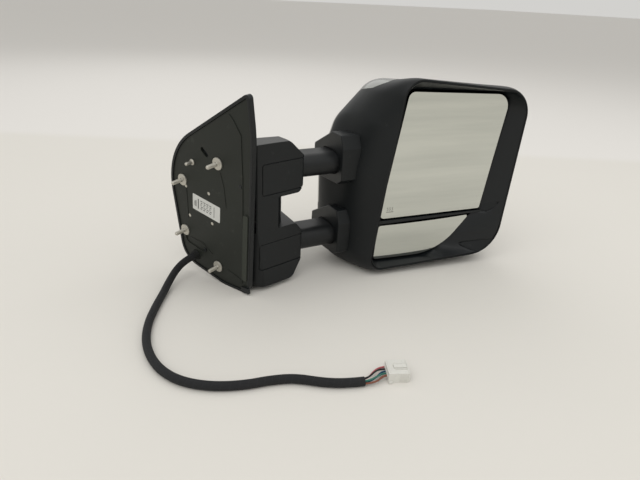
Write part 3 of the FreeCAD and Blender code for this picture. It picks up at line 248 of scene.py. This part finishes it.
def wire_across(number):
    """Where a wire enters the connector, from its middle, in millimetres."""
    return WIRE_SPACING * (len(WIRES) // 2 - number)


def build_wires():
    """Five wires, fanned out between the end of the tape and the connector."""
    loom_end = LOOM_ROUTE[-1]
    loom_way = (loom_end - LOOM_ROUTE[-2]).normalized()
    loom_side = Vector((-loom_way.y, loom_way.x, 0))
    plug_way = (CONNECTOR.to_3x3() @ Vector((1, 0, 0))).normalized()
    made = {}
    for number, (colour, side, high, bow, rise) in enumerate(WIRES):
        leave = loom_end + loom_side * side * MM + UP * high * MM
        enter = CONNECTOR @ Vector((WIRE_DEPTH, wire_across(number), WIRE_LEVEL))
        middle = (leave + enter) / 2 + loom_side * bow * MM + UP * rise * MM
        route = [
            leave - loom_way * WIRE_TUCK * MM, leave + loom_way * WIRE_LEAVE * MM, middle,
            enter - plug_way * WIRE_ENTER * MM, enter,
        ]
        made[colour] = round_line("wire_" + colour, route, WIRE_RADIUS, 4)
    return made


wires = build_wires()


# ---------------------------------------------------------------- finishes
def shifted(colour, gain, lift=0.0):
    """The same colour lighter or darker."""
    return tuple(min(1.0, channel * gain + lift) for channel in colour)


def grained_plastic(name, colour):
    """Moulded plastic with a fine stipple, a little paler and drier in patches."""
    make = Finish(name)
    rough = 0.42
    grain = 1100
    stipple = make.node("TexVoronoi", {"feature": "SMOOTH_F1"}, Vector=make.spot(), Scale=grain)
    patches = make.noise(9, 3)
    dust = make.noise(70, 5, 0.65)
    tone = make.mix(patches * 0.45, colour, shifted(colour, 1.55, 0.002))
    tone = make.mix((dust > 0.66) * 0.05, tone, (0.12, 0.12, 0.115))
    height = stipple + make.noise(grain * 0.35) * 0.5
    return make.surface(
        Base_Color=tone, Roughness=rough + patches * 0.10 + dust * 0.06 - 0.08, Specular_IOR_Level=0.3,
        Normal=make.bump(height, 0.00007, 0.55, make.soft_edges(0.0011)),
    )


def smooth_plastic(name, colour, rough=0.35):
    """Moulded plastic without grain."""
    make = Finish(name)
    haze = make.noise(40, 3)
    return make.surface(
        Base_Color=make.mix(haze * 0.4, colour, shifted(colour, 1.25, 0.001)),
        Roughness=rough + haze * 0.1, Specular_IOR_Level=0.35,
        Normal=make.bump(haze, 0.00004, 0.4, make.soft_edges(0.0005)),
    )


def metal(name, colour, rough):
    """Bare or plated metal, cloudy and finely marked."""
    make = Finish(name)
    cloud = make.noise(90, 4)
    fine = make.noise(300, 3)
    return make.surface(
        Base_Color=make.mix(cloud * 0.6, colour, shifted(colour, 0.72)),
        Metallic=1.0, Roughness=rough + fine * 0.08,
        Normal=make.bump(fine, 0.00003, 0.5, make.soft_edges(0.0003)),
    )


def chrome():
    """Plated front cap, bright with a slow ripple."""
    make = Finish("bright_chrome")
    ripple = make.noise(9, 1)
    return make.surface(
        Base_Color=(0.27, 0.275, 0.262), Metallic=1.0, Roughness=0.16 + ripple * 0.05,
        Normal=make.bump(ripple, 0.0002, 0.3, make.soft_edges(0.0008)),
    )


def mirror_glass():
    """Silvered glass with faint wiping streaks."""
    make = Finish("mirror_glass")
    streak = make.noise(1.0, 4, 0.6, make.spot((0, 0.16, 0.12), (3, 3, 46)))
    wide = make.noise(5, 2)
    tone = make.mix((streak - 0.4) * 2.6 + wide * 0.2, (0.63, 0.645, 0.60), (0.53, 0.545, 0.51))
    return make.surface(
        Base_Color=tone, Metallic=1.0, Roughness=0.025 + streak * 0.05,
        Normal=make.bump(wide, 0.00003, 0.15),
    )


def cast_coat():
    """Olive-black coat over a cast plate, scuffed pale in places."""
    make = Finish("base_metal")
    cast = make.noise(240, 4, 0.6)
    patches = make.noise(16, 4)
    scuff = make.noise(48, 6, 0.7)
    tone = make.mix(patches, (0.0075, 0.0095, 0.0068), (0.0155, 0.0185, 0.0135))
    tone = make.mix((scuff > 0.64) * 0.25, tone, (0.055, 0.06, 0.05))
    return make.surface(
        Base_Color=tone, Roughness=0.46 + patches * 0.2, Specular_IOR_Level=0.35,
        Normal=make.bump(cast, 0.00012, 0.6, make.soft_edges(0.0008)),
    )


def cloth_tape():
    """Black woven tape wound round the loom, each turn lapping the one before, with a painted highlight along each
    turn's raised edge.
    """
    make = Finish("loom_tape")
    tape_step = 9 * MM
    turns = LOOM_LENGTH / tape_step
    along = make.node("SeparateXYZ", None, make.node("TexCoord", out="UV"), out="X")
    round_it = make.node("SeparateXYZ", None, make.node("TexCoord", out="UV"), out="Y")
    lap = make.node("Math", {"operation": "FRACT"}, along * turns + round_it)
    # painted highlight: the raised edge of each lap is made lighter in colour
    edge = lap > 0.9
    threads = make.node("Math", {"operation": "SINE"}, along * turns * 60 + round_it * 40)
    fuzz = make.noise(900, 4, 0.7)
    tone = make.mix(fuzz * 0.7 + edge * 0.3, (0.004, 0.0043, 0.005), (0.022, 0.023, 0.026))
    height = lap + threads * 0.15 + fuzz * 0.9
    return make.surface(
        Base_Color=tone, Roughness=0.72 + fuzz * 0.2, Normal=make.bump(height, 0.0011, 1.0),
    )


def nylon():
    """Milky connector plastic, cloudy with grey handling marks."""
    make = Finish("pale_nylon")
    cloud = make.noise(160, 4)
    marks = make.noise(420, 3, 0.7)
    tone = make.mix(cloud * 0.6, (0.74, 0.73, 0.68), (0.62, 0.62, 0.58))
    tone = make.mix((marks > 0.62) * 0.2, tone, (0.4, 0.4, 0.38))
    return make.surface(
        Base_Color=tone, Roughness=0.36 + cloud * 0.12,
        Normal=make.bump(cloud, 0.00005, 0.4, make.soft_edges(0.0003)),
    )


def paper():
    """Coated label stock, slightly creased, and painted darker along the creases as painted shade."""
    make = Finish("label_white")
    crease_and_shade = make.noise(60, 5, 0.6)
    return make.surface(
        # painted shade: the label darkens with the same noise that raises its creases
        Base_Color=make.mix(crease_and_shade * 0.6, (0.66, 0.665, 0.64), (0.52, 0.525, 0.50)),
        Roughness=0.42 + crease_and_shade * 0.1, Normal=make.bump(crease_and_shade, 0.0003, 0.5),
    )


FINISHES = {
    "black_grain": grained_plastic("black_grain", (0.0052, 0.0066, 0.0072)),
    "dark_plastic": smooth_plastic("dark_plastic", (0.0055, 0.007, 0.008), 0.3),
    "base_metal": cast_coat(),
    "black_coat": smooth_plastic("black_coat", (0.0065, 0.0075, 0.008), 0.4),
    "cast_alloy": metal("cast_alloy", (0.55, 0.55, 0.55), 0.45),
    "zinc_steel": metal("zinc_steel", (0.60, 0.58, 0.52), 0.45),
    "spring_steel": metal("spring_steel", (0.32, 0.32, 0.33), 0.35),
    "bright_chrome": chrome(),
    "mirror_glass": mirror_glass(),
    "heater_foil": smooth_plastic("heater_foil", (0.5, 0.28, 0.06)),
    "label_white": paper(),
    "black_rubber": smooth_plastic("black_rubber", (0.008, 0.0085, 0.008), 0.62),
    "bush_plastic": smooth_plastic("bush_plastic", (0.7, 0.7, 0.66)),
    "loom_tape": cloth_tape(),
    "wire_skin": smooth_plastic("wire_skin", (0.5, 0.06, 0.05)),
    "pale_nylon": nylon(),
}
SEAL_FINISH = smooth_plastic("seal_foam", (0.033, 0.037, 0.029), 0.7)
PRINT_GREY = smooth_plastic("label_print", (0.09, 0.09, 0.09), 0.5)
MARK_GREY = smooth_plastic("glass_mark", (0.14, 0.14, 0.13), 0.5)
WIRE_FINISHES = {
    "red": smooth_plastic("wire_red", (0.42, 0.10, 0.11), 0.38),
    "black": smooth_plastic("wire_black", (0.008, 0.008, 0.009), 0.38),
    "blue": smooth_plastic("wire_blue", (0.010, 0.052, 0.105), 0.38),
    "green": smooth_plastic("wire_green", (0.030, 0.150, 0.115), 0.38),
    "brown": smooth_plastic("wire_brown", (0.20, 0.065, 0.035), 0.38),
}

SLOT_OF = {entry["node"]: entry["material_slot"] for entry in frame["record"]["subparts"]}
for name, thing in NODES.items():
    for slot in thing.material_slots:
        slot.material = FINISHES[SLOT_OF[name]]
    if not thing.material_slots:
        thing.data.materials.append(FINISHES[SLOT_OF[name]])


# ---------------------------------------------------------------- ways of making pieces
def finished(name, mesh, material, body, smooth=0.0):
    """Merge a bmesh's doubles, turn its faces outwards and let it ride on a body; smooth in degrees."""
    bmesh.ops.remove_doubles(mesh, verts=mesh.verts, dist=1e-7)
    bmesh.ops.recalc_face_normals(mesh, faces=mesh.faces)
    shade(mesh, smooth)
    thing = settled(name, mesh, material)
    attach(thing, body)
    return thing


def settled(name, mesh, material):
    """Put a bmesh into an object of its own."""
    data = bpy.data.meshes.new(name)
    mesh.to_mesh(data)
    mesh.free()
    data.materials.append(material)
    thing = bpy.data.objects.new(name, data)
    bpy.context.scene.collection.objects.link(thing)
    return thing


def shade(mesh, smooth):
    """Shade smooth across edges flatter than an angle in degrees."""
    for face in mesh.faces:
        face.smooth = smooth > 0
    for edge in mesh.edges:
        edge.smooth = edge.calc_face_angle(math.pi) < math.radians(smooth)


def block(mesh, place, low, high, round_off=0.0):
    """A box between two corners of a place, its edges rounded."""
    low = Vector(low)
    high = Vector(high)
    size = Matrix.Diagonal((*(high - low), 1))
    made = bmesh.ops.create_cube(mesh, size=1, matrix=place @ Matrix.Translation((low + high) / 2) @ size)
    if round_off:
        edges = {edge for vert in made["verts"] for edge in vert.link_edges}
        bmesh.ops.bevel(
            mesh, geom=list(edges), offset=round_off * MM, affect="EDGES", segments=2, profile=0.5,
            material=-1,
        )


def turned_shape(profile, steps):
    """A shape turned about the z axis, from pairs of radius and level."""
    mesh = bmesh.new()
    verts = [mesh.verts.new((radius, 0, level)) for radius, level in profile]
    edges = [mesh.edges.new(pair) for pair in zip(verts, verts[1:])]
    bmesh.ops.spin(
        mesh, geom=verts + edges, cent=(0, 0, 0), axis=(0, 0, 1), angle=math.tau, steps=steps,
        use_merge=True, use_duplicate=False,
    )
    bmesh.ops.remove_doubles(mesh, verts=mesh.verts, dist=1e-4)
    return mesh


def turned_piece(name, places, profile, material, body, steps=32, smooth=30):
    """The same turned shape at several places."""
    whole = bmesh.new()
    for place in places:
        one = turned_shape(profile, steps)
        bmesh.ops.transform(one, matrix=place, verts=one.verts)
        shell = bpy.data.meshes.new(name + "_part")
        one.to_mesh(shell)
        one.free()
        whole.from_mesh(shell)
        bpy.data.meshes.remove(shell)
    return finished(name, whole, material, body, smooth)


def strip(mesh, place, points, wide, tall):
    """A low bar along points on the xy plane of a place; a negative height stands the other way."""
    bottom, top = sorted((0, tall))
    half = wide / 2
    round_off = min(wide, abs(tall)) * 0.35
    for start, end in zip(points, points[1:]):
        run = Vector(end) - Vector(start)
        seat = (
            place @ Matrix.Translation((*start, 0))
            @ Matrix.Rotation(math.atan2(run.y, run.x), 4, "Z")
        )
        block(mesh, seat, (-half, -half, bottom), (run.length + half, half, top), round_off)


# ---------------------------------------------------------------- smoothed copies of the shells
# Edges sharper than this many degrees stay crisp.
FACETED = 11
ROUNDED = 22
SOFT = 28


def body_of_node(name):
    """The body that carries a node."""
    return next(body for body, nodes in frame["record"]["behaviour"]["bodies"].items() if name in nodes)


def smoothed(name, angle=SOFT, material=None):
    """A copy of a node with its seams merged and its round faces shaded smooth."""
    mesh = bmesh.new()
    mesh.from_mesh(NODES[name].data)
    bmesh.ops.remove_doubles(mesh, verts=mesh.verts, dist=2e-6)
    shade(mesh, angle)
    thing = settled(name + "_surface", mesh, material or FINISHES[SLOT_OF[name]])
    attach(thing, body_of_node(name))
    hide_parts(name)
    return thing


for name in (
    "head_housing", "front_cap", "glass_upper", "glass_lower", "tube_upper", "tube_lower", "tube_wipers",
):
    smoothed(name, ROUNDED)
for name in (
    "collar_upper", "collar_lower", "bracket_housing", "bracket_front_cover", "arm_panel_upper",
    "arm_panel_lower", "base_cover", "base_plate", "edge_clip", "blank_label",
):
    smoothed(name, FACETED)
smoothed("edge_seal", material=SEAL_FINISH)
connector = smoothed("connector")


# ---------------------------------------------------------------- studs, pin and grommet
# Places on the door face. Levels are negative towards the vehicle, so a stud's tip lies at -STUD_REACH.
STUD_SPOTS = [(62, 37), (142, -5), (152, -91), (85, -134)]
PIN_SPOT = (115, 28)
EXIT_SPOT = (134, -130)
SEAT_LEVEL = -0.05  # turned pieces stay this far off the face
STUD_RADIUS = 3
STUD_REACH = 20
STUD_PLAIN = 6  # length without thread
FLANGE_RADIUS = 9
THREAD_PITCH = 1.25
THREAD_START = 1.4
THREAD_ROOT = STUD_RADIUS * 0.84
PIN_REACH = 13
PIN_RADIUS = 2.5


def on_door(x, y):
    """A place on the door face, in millimetres."""
    return DOOR @ Matrix.Translation((x, y, 0))


def stud_profile():
    """Tip, thread, neck and a thin wide flange, as radius and level."""
    tip = -STUD_REACH
    profile = [(0, tip), (STUD_RADIUS * 0.62, tip), (STUD_RADIUS * 0.74, tip + 0.8)]
    for turn in range(int((STUD_REACH - STUD_PLAIN) / THREAD_PITCH)):
        level = tip + THREAD_START + turn * THREAD_PITCH
        profile += [(STUD_RADIUS, level), (STUD_RADIUS, level + 0.25)]
        profile += [(THREAD_ROOT, level + 0.7 * THREAD_PITCH)]
    profile += [(STUD_RADIUS * 0.93, -4.0), (STUD_RADIUS * 1.02, -2.9), (STUD_RADIUS * 1.5, -2.3)]
    profile += [(FLANGE_RADIUS - 0.9, -2.0), (FLANGE_RADIUS - 0.2, -1.7), (FLANGE_RADIUS, -1.1)]
    return profile + [(FLANGE_RADIUS, SEAT_LEVEL), (0, SEAT_LEVEL)]


PIN_PROFILE = [
    (0, -PIN_REACH), (PIN_RADIUS - 1.4, -PIN_REACH), (PIN_RADIUS - 0.5, 0.6 - PIN_REACH),
    (PIN_RADIUS, 1.6 - PIN_REACH), (PIN_RADIUS, -2.4), (PIN_RADIUS + 0.5, -1.8),
    (PIN_RADIUS + 1.7, -1.5), (PIN_RADIUS + 2, -1.2), (PIN_RADIUS + 2, SEAT_LEVEL), (0, SEAT_LEVEL),
]
# Two ribs and a foot round the loom; the last point closes the ring.
GROMMET_PROFILE = [
    (5.7, -7.0), (6.5, -7.0), (6.9, -6.2), (6.9, -5.2), (6.4, -4.9), (6.4, -4.4), (7.4, -3.9), (7.4, -3.1),
    (6.9, -2.8), (6.9, -2.4), (8.3, -2.0), (8.5, -1.5), (8.5, SEAT_LEVEL), (5.7, SEAT_LEVEL), (5.7, -7.0),
]
studs = turned_piece(
    "threaded_studs", [on_door(*spot) for spot in STUD_SPOTS], stud_profile(),
    FINISHES["zinc_steel"], "base", 28, 25,
)
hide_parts("mounting_studs")
pin = turned_piece(
    "smooth_locating_pin", [on_door(*PIN_SPOT)], PIN_PROFILE, FINISHES["zinc_steel"], "base",
)
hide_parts("locating_pin")
grommet = turned_piece(
    "ribbed_grommet", [on_door(*EXIT_SPOT)], GROMMET_PROFILE, FINISHES["black_rubber"], "base",
    36,
)
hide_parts("cable_grommet")


# ---------------------------------------------------------------- relief on the door face
# Each rib: its points on the door face, its width and its height, negative towards the vehicle.
DOOR_RIBS = [
    ([(31, 109), (26, 105), (13, 85), (16.5, 24), (24.5, -53), (36, -146)], 1.4, -0.9),
    ([(59, 24), (54.6, 2), (54.5, -27)], 1.3, -0.6),
    ([(136.4, -18), (141, -66)], 1.2, -0.6),
    ([(142, -101), (114, -104.6), (96, -116)], 1.3, -0.7),
    ([(64, -133), (37, -140)], 1.3, -0.7),
]
BOSS_SPOTS = [(22, 13), (112, -114)]
BOSS_PROFILE = [(0, -1.0), (2.2, -1.0), (2.6, -0.6), (2.8, -0.02), (0, -0.02)]


def build_door_relief():
    """Low ribs cast on the face against the door."""
    mesh = bmesh.new()
    for points, wide, tall in DOOR_RIBS:
        strip(mesh, DOOR, points, wide, tall)
    return finished("door_face_ribs", mesh, FINISHES["base_metal"], "base", 30)


build_door_relief()
turned_piece(
    "door_face_bosses", [on_door(*spot) for spot in BOSS_SPOTS], BOSS_PROFILE, FINISHES["dark_plastic"],
    "base", 20,
)


# ---------------------------------------------------------------- print on the label, marks on the glass
LABEL = DOOR @ Matrix.Translation((97, -39, -0.3)) @ Matrix.Rotation(math.radians(9), 4, "Z")
INK = 0.06  # how far the print stands off the label
ROW_STEP = 3.2
DASH_STEP = 6.2
MARK_SPOT = (88, -51.06, 106)  # on the upper glass's face, near its lower inboard corner
WAVE_SPACING = 4.2
WAVE_HALF_WIDE = 0.45
WAVE_HALF_TALL = 3.1
WAVE_SWING = 0.9
WAVE_RATE = 1.6  # radians per millimetre of height
WAVE_STEPS = 12
MARK_THICK = 0.04


def print_bar(mesh, left, bottom, right, top):
    """One printed bar on the label."""
    block(mesh, LABEL, (left, bottom, -INK), (right, top, 0))


def build_label_print():
    """Plain bars and dashes, standing for print without saying anything."""
    mesh = bmesh.new()
    print_bar(mesh, 15.5, -8.5, 17.5, 8.0)
    print_bar(mesh, -17.0, -9.0, -16.0, 8.5)
    for row in range(5):
        level = 6.5 - ROW_STEP * row
        for dash in range(4):
            start = 12.0 - DASH_STEP * dash - 0.8 * (row % 2)
            print_bar(mesh, start - 4.4 + row % 3, level - 0.65, start, level + 0.65)
    for line in range(3):
        print_bar(mesh, 20.5 + line * 1.7, -6.5, 21.4 + line * 1.7, 4.0 - line)
    return finished("label_bars", mesh, PRINT_GREY, "base")


def flat_bar(mesh, x, y, half_wide, half_tall, steps=1):
    """A flat bar round a point, cut into steps along y."""
    return bmesh.ops.create_grid(
        mesh, x_segments=1, y_segments=steps, size=1,
        matrix=Matrix.Translation((x, y, 0)) @ Matrix.Diagonal((half_wide, half_tall, 1, 1)),
    )


def build_heater_mark():
    """Three short waves over a bar."""
    mesh = bmesh.new()
    for column in (-1, 0, 1):
        wave = flat_bar(mesh, column * WAVE_SPACING, 1.6, WAVE_HALF_WIDE, WAVE_HALF_TALL, WAVE_STEPS)
        for vert in wave["verts"]:
            vert.co.x += WAVE_SWING * math.sin(vert.co.y * WAVE_RATE)
    flat_bar(mesh, 0, -3.4, 6.2, 0.5)
    bmesh.ops.solidify(mesh, geom=mesh.faces[:], thickness=MARK_THICK)
    seat = HEAD @ Matrix.Translation(MARK_SPOT) @ Matrix.Rotation(math.radians(90), 4, "X")
    bmesh.ops.transform(mesh, matrix=seat, verts=mesh.verts)
    return finished("heater_mark", mesh, MARK_GREY, "upper_glass")


build_label_print()
build_heater_mark()


# ---------------------------------------------------------------- outboard corners of the surround
# Corner points, in the head's place: beside the divider's outboard end, and below the lower glass.
CORNER_WALLS = [
    [
        (261, -51.3, 87), (274, -58.5, 91), (290, -67.4, 98), (288, -65.6, 108), (276, -57.0, 106),
        (264, -48.6, 101),
    ],
    [
        (227, -55.6, 32.5), (234, -56, 37.6), (247.5, -59.4, 40), (267.7, -65.2, 42.5), (282, -69, 46),
        (286, -70.4, 42), (276, -70.4, 29), (266, -70.4, 23), (256, -70.4, 19.6), (240, -63, 25),
    ],
]
CORNER_WALL_THICK = 0.6 * MM


def build_corner_walls():
    """Thin walls that close the surround's outboard corners behind its edge."""
    mesh = bmesh.new()
    for outline in CORNER_WALLS:
        verts = [mesh.verts.new(HEAD @ Vector(point)) for point in outline]
        face = mesh.faces.new(verts)
        bmesh.ops.triangulate(mesh, faces=[face])
    bmesh.ops.recalc_face_normals(mesh, faces=mesh.faces)
    bmesh.ops.solidify(mesh, geom=mesh.faces[:], thickness=CORNER_WALL_THICK)
    return finished("surround_corner_walls", mesh, FINISHES["black_grain"], "head", 40)


build_corner_walls()


# ---------------------------------------------------------------- connector detail
FLANK = 13.5  # half the body's width
TOP = 13.0
GRIP_RIBS = 6
GRIP_START = 13.5
GRIP_STEP = 2.0
# Bands across the top, the two beams of the latch, and the foot: low corner, high corner, rounding.
CONNECTOR_BLOCKS = [
    ((2.0, -11.5, TOP), (3.0, 11.5, TOP + 0.5), 0.15),
    ((24.2, -12.4, TOP), (25.4, 12.4, TOP + 0.6), 0.15),
    ((9.0, -6.0, TOP), (24.0, -4.6, TOP + 1), 0.2),
    ((9.0, 4.6, TOP), (24.0, 6.0, TOP + 1), 0.2),
    ((0.4, -16.0, 0.2), (4.6, -13.4, 3.0), 0.3),
]
PIN_LEVELS = (4.6, 8.4)
PIN_HALF = 0.35


def build_connector_detail():
    """Grip ribs on both flanks, bands and a latch on top and a foot at the lower edge."""
    mesh = bmesh.new()
    for side in (-1, 1):
        near, far = sorted((FLANK * side, (FLANK + 0.45) * side))
        for rib in range(GRIP_RIBS):
            start = GRIP_START + rib * GRIP_STEP
            block(mesh, CONNECTOR, (start, near, 1.2), (start + 0.9, far, 11.8), 0.15)
    for low, high, round_off in CONNECTOR_BLOCKS:
        block(mesh, CONNECTOR, low, high, round_off)
    return finished("connector_ribs", mesh, FINISHES["pale_nylon"], "base", 30)


def build_connector_pins():
    """Two rows of pins inside the socket."""
    mesh = bmesh.new()
    for column in range(-2, 3):
        across = column * WIRE_SPACING
        for level in PIN_LEVELS:
            low = (12.0, across - PIN_HALF, level - PIN_HALF)
            high = (20.0, across + PIN_HALF, level + PIN_HALF)
            block(mesh, CONNECTOR, low, high, 0.12)
    return finished("connector_pins", mesh, FINISHES["zinc_steel"], "base")


def build_wire_seats():
    """The small sleeves where the wires enter the connector."""
    mesh = bmesh.new()
    for number in range(len(WIRES)):
        across = wire_across(number)
        low = (-1.0, across - 1.7, WIRE_LEVEL - 1.7)
        high = (0.2, across + 1.7, WIRE_LEVEL + 1.7)
        block(mesh, CONNECTOR, low, high, 0.25)
    return finished("wire_seats", mesh, FINISHES["pale_nylon"], "base", 30)


loom_pieces = [build_connector_detail(), build_connector_pins(), build_wire_seats(), connector]
for colour, wire in wires.items():
    wire.data.materials.append(WIRE_FINISHES[colour])
    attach(wire, "base")
    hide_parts("connector_wires")
    loom_pieces.append(wire)
loom.data.materials.append(FINISHES["loom_tape"])
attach(loom, "base")
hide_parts("wiring_loom")


# ---------------------------------------------------------------- stage and light
FLOOR_HALF = 40
FLOOR_TURN = 0.49  # radians
FLOOR_PAINTED_LIGHT_SPAN = (0.72, 0.80)  # where the painted lighter band beyond the backdrop's fold begins and ends, in metres
LAMP_TARGET = Vector((0, 0, 0.1))
# Each lamp: its place, its width and its power.
LAMPS = {
    "key_light": ((-1.2, -1.2, 2.4), 3.2, 27),
    "fill_light": ((1.6, -0.8, 1.9), 3.0, 12),
    "back_light": ((0.2, 1.8, 2.0), 3.0, 13),
}


def floor_finish():
    """A pale warm sheet, painted a shade lighter past a soft step where a backdrop would fold up: painted light,
    as the floor itself stays flat.
    """
    make = Finish("studio_floor")
    back = make.node("SeparateXYZ", None, make.spot((0, 0, FLOOR_TURN)), out="Y")
    # painted light: beyond this band the flat floor is painted lighter, as if it turned up towards the lamps
    painted_light_step = make.node("MapRange", {"interpolation_type": "SMOOTHSTEP"}, back, *FLOOR_PAINTED_LIGHT_SPAN, 0.0, 1.0)
    cloud = make.noise(3.0, 3)
    near = make.mix(cloud * 0.5, (0.735, 0.712, 0.665), (0.70, 0.678, 0.63))
    return make.surface(
        Base_Color=make.mix(painted_light_step, near, (0.76, 0.74, 0.71)), Roughness=0.85,
        Normal=make.bump(make.noise(55, 4), 0.0012, 0.25),
    )


def build_stage():
    """The floor that the part stands on."""
    mesh = bmesh.new()
    bmesh.ops.create_grid(mesh, x_segments=1, y_segments=1, size=FLOOR_HALF)
    settled("studio_floor", mesh, floor_finish())


def area_light(name, spot, size, power):
    """A round lamp that looks at the part."""
    data = bpy.data.lights.new(name, "AREA")
    data.shape = "DISK"
    data.size = size
    data.energy = power
    lamp = bpy.data.objects.new(name, data)
    bpy.context.scene.collection.objects.link(lamp)
    lamp.location = spot
    towards = LAMP_TARGET - Vector(spot)
    lamp.rotation_euler = towards.to_track_quat("-Z", "Y").to_euler()


def build_light():
    """A plain pale world and three soft lamps."""
    world = bpy.data.worlds.new("studio")
    bpy.context.scene.world = world
    world.use_nodes = True
    background = world.node_tree.nodes["Background"]
    background.inputs["Color"].default_value = (0.92, 0.91, 0.88, 1)
    background.inputs["Strength"].default_value = 0.7
    for name, (spot, size, power) in LAMPS.items():
        area_light(name, spot, size, power)


build_stage()
build_light()
bpy.context.scene.view_settings.view_transform = "Standard"
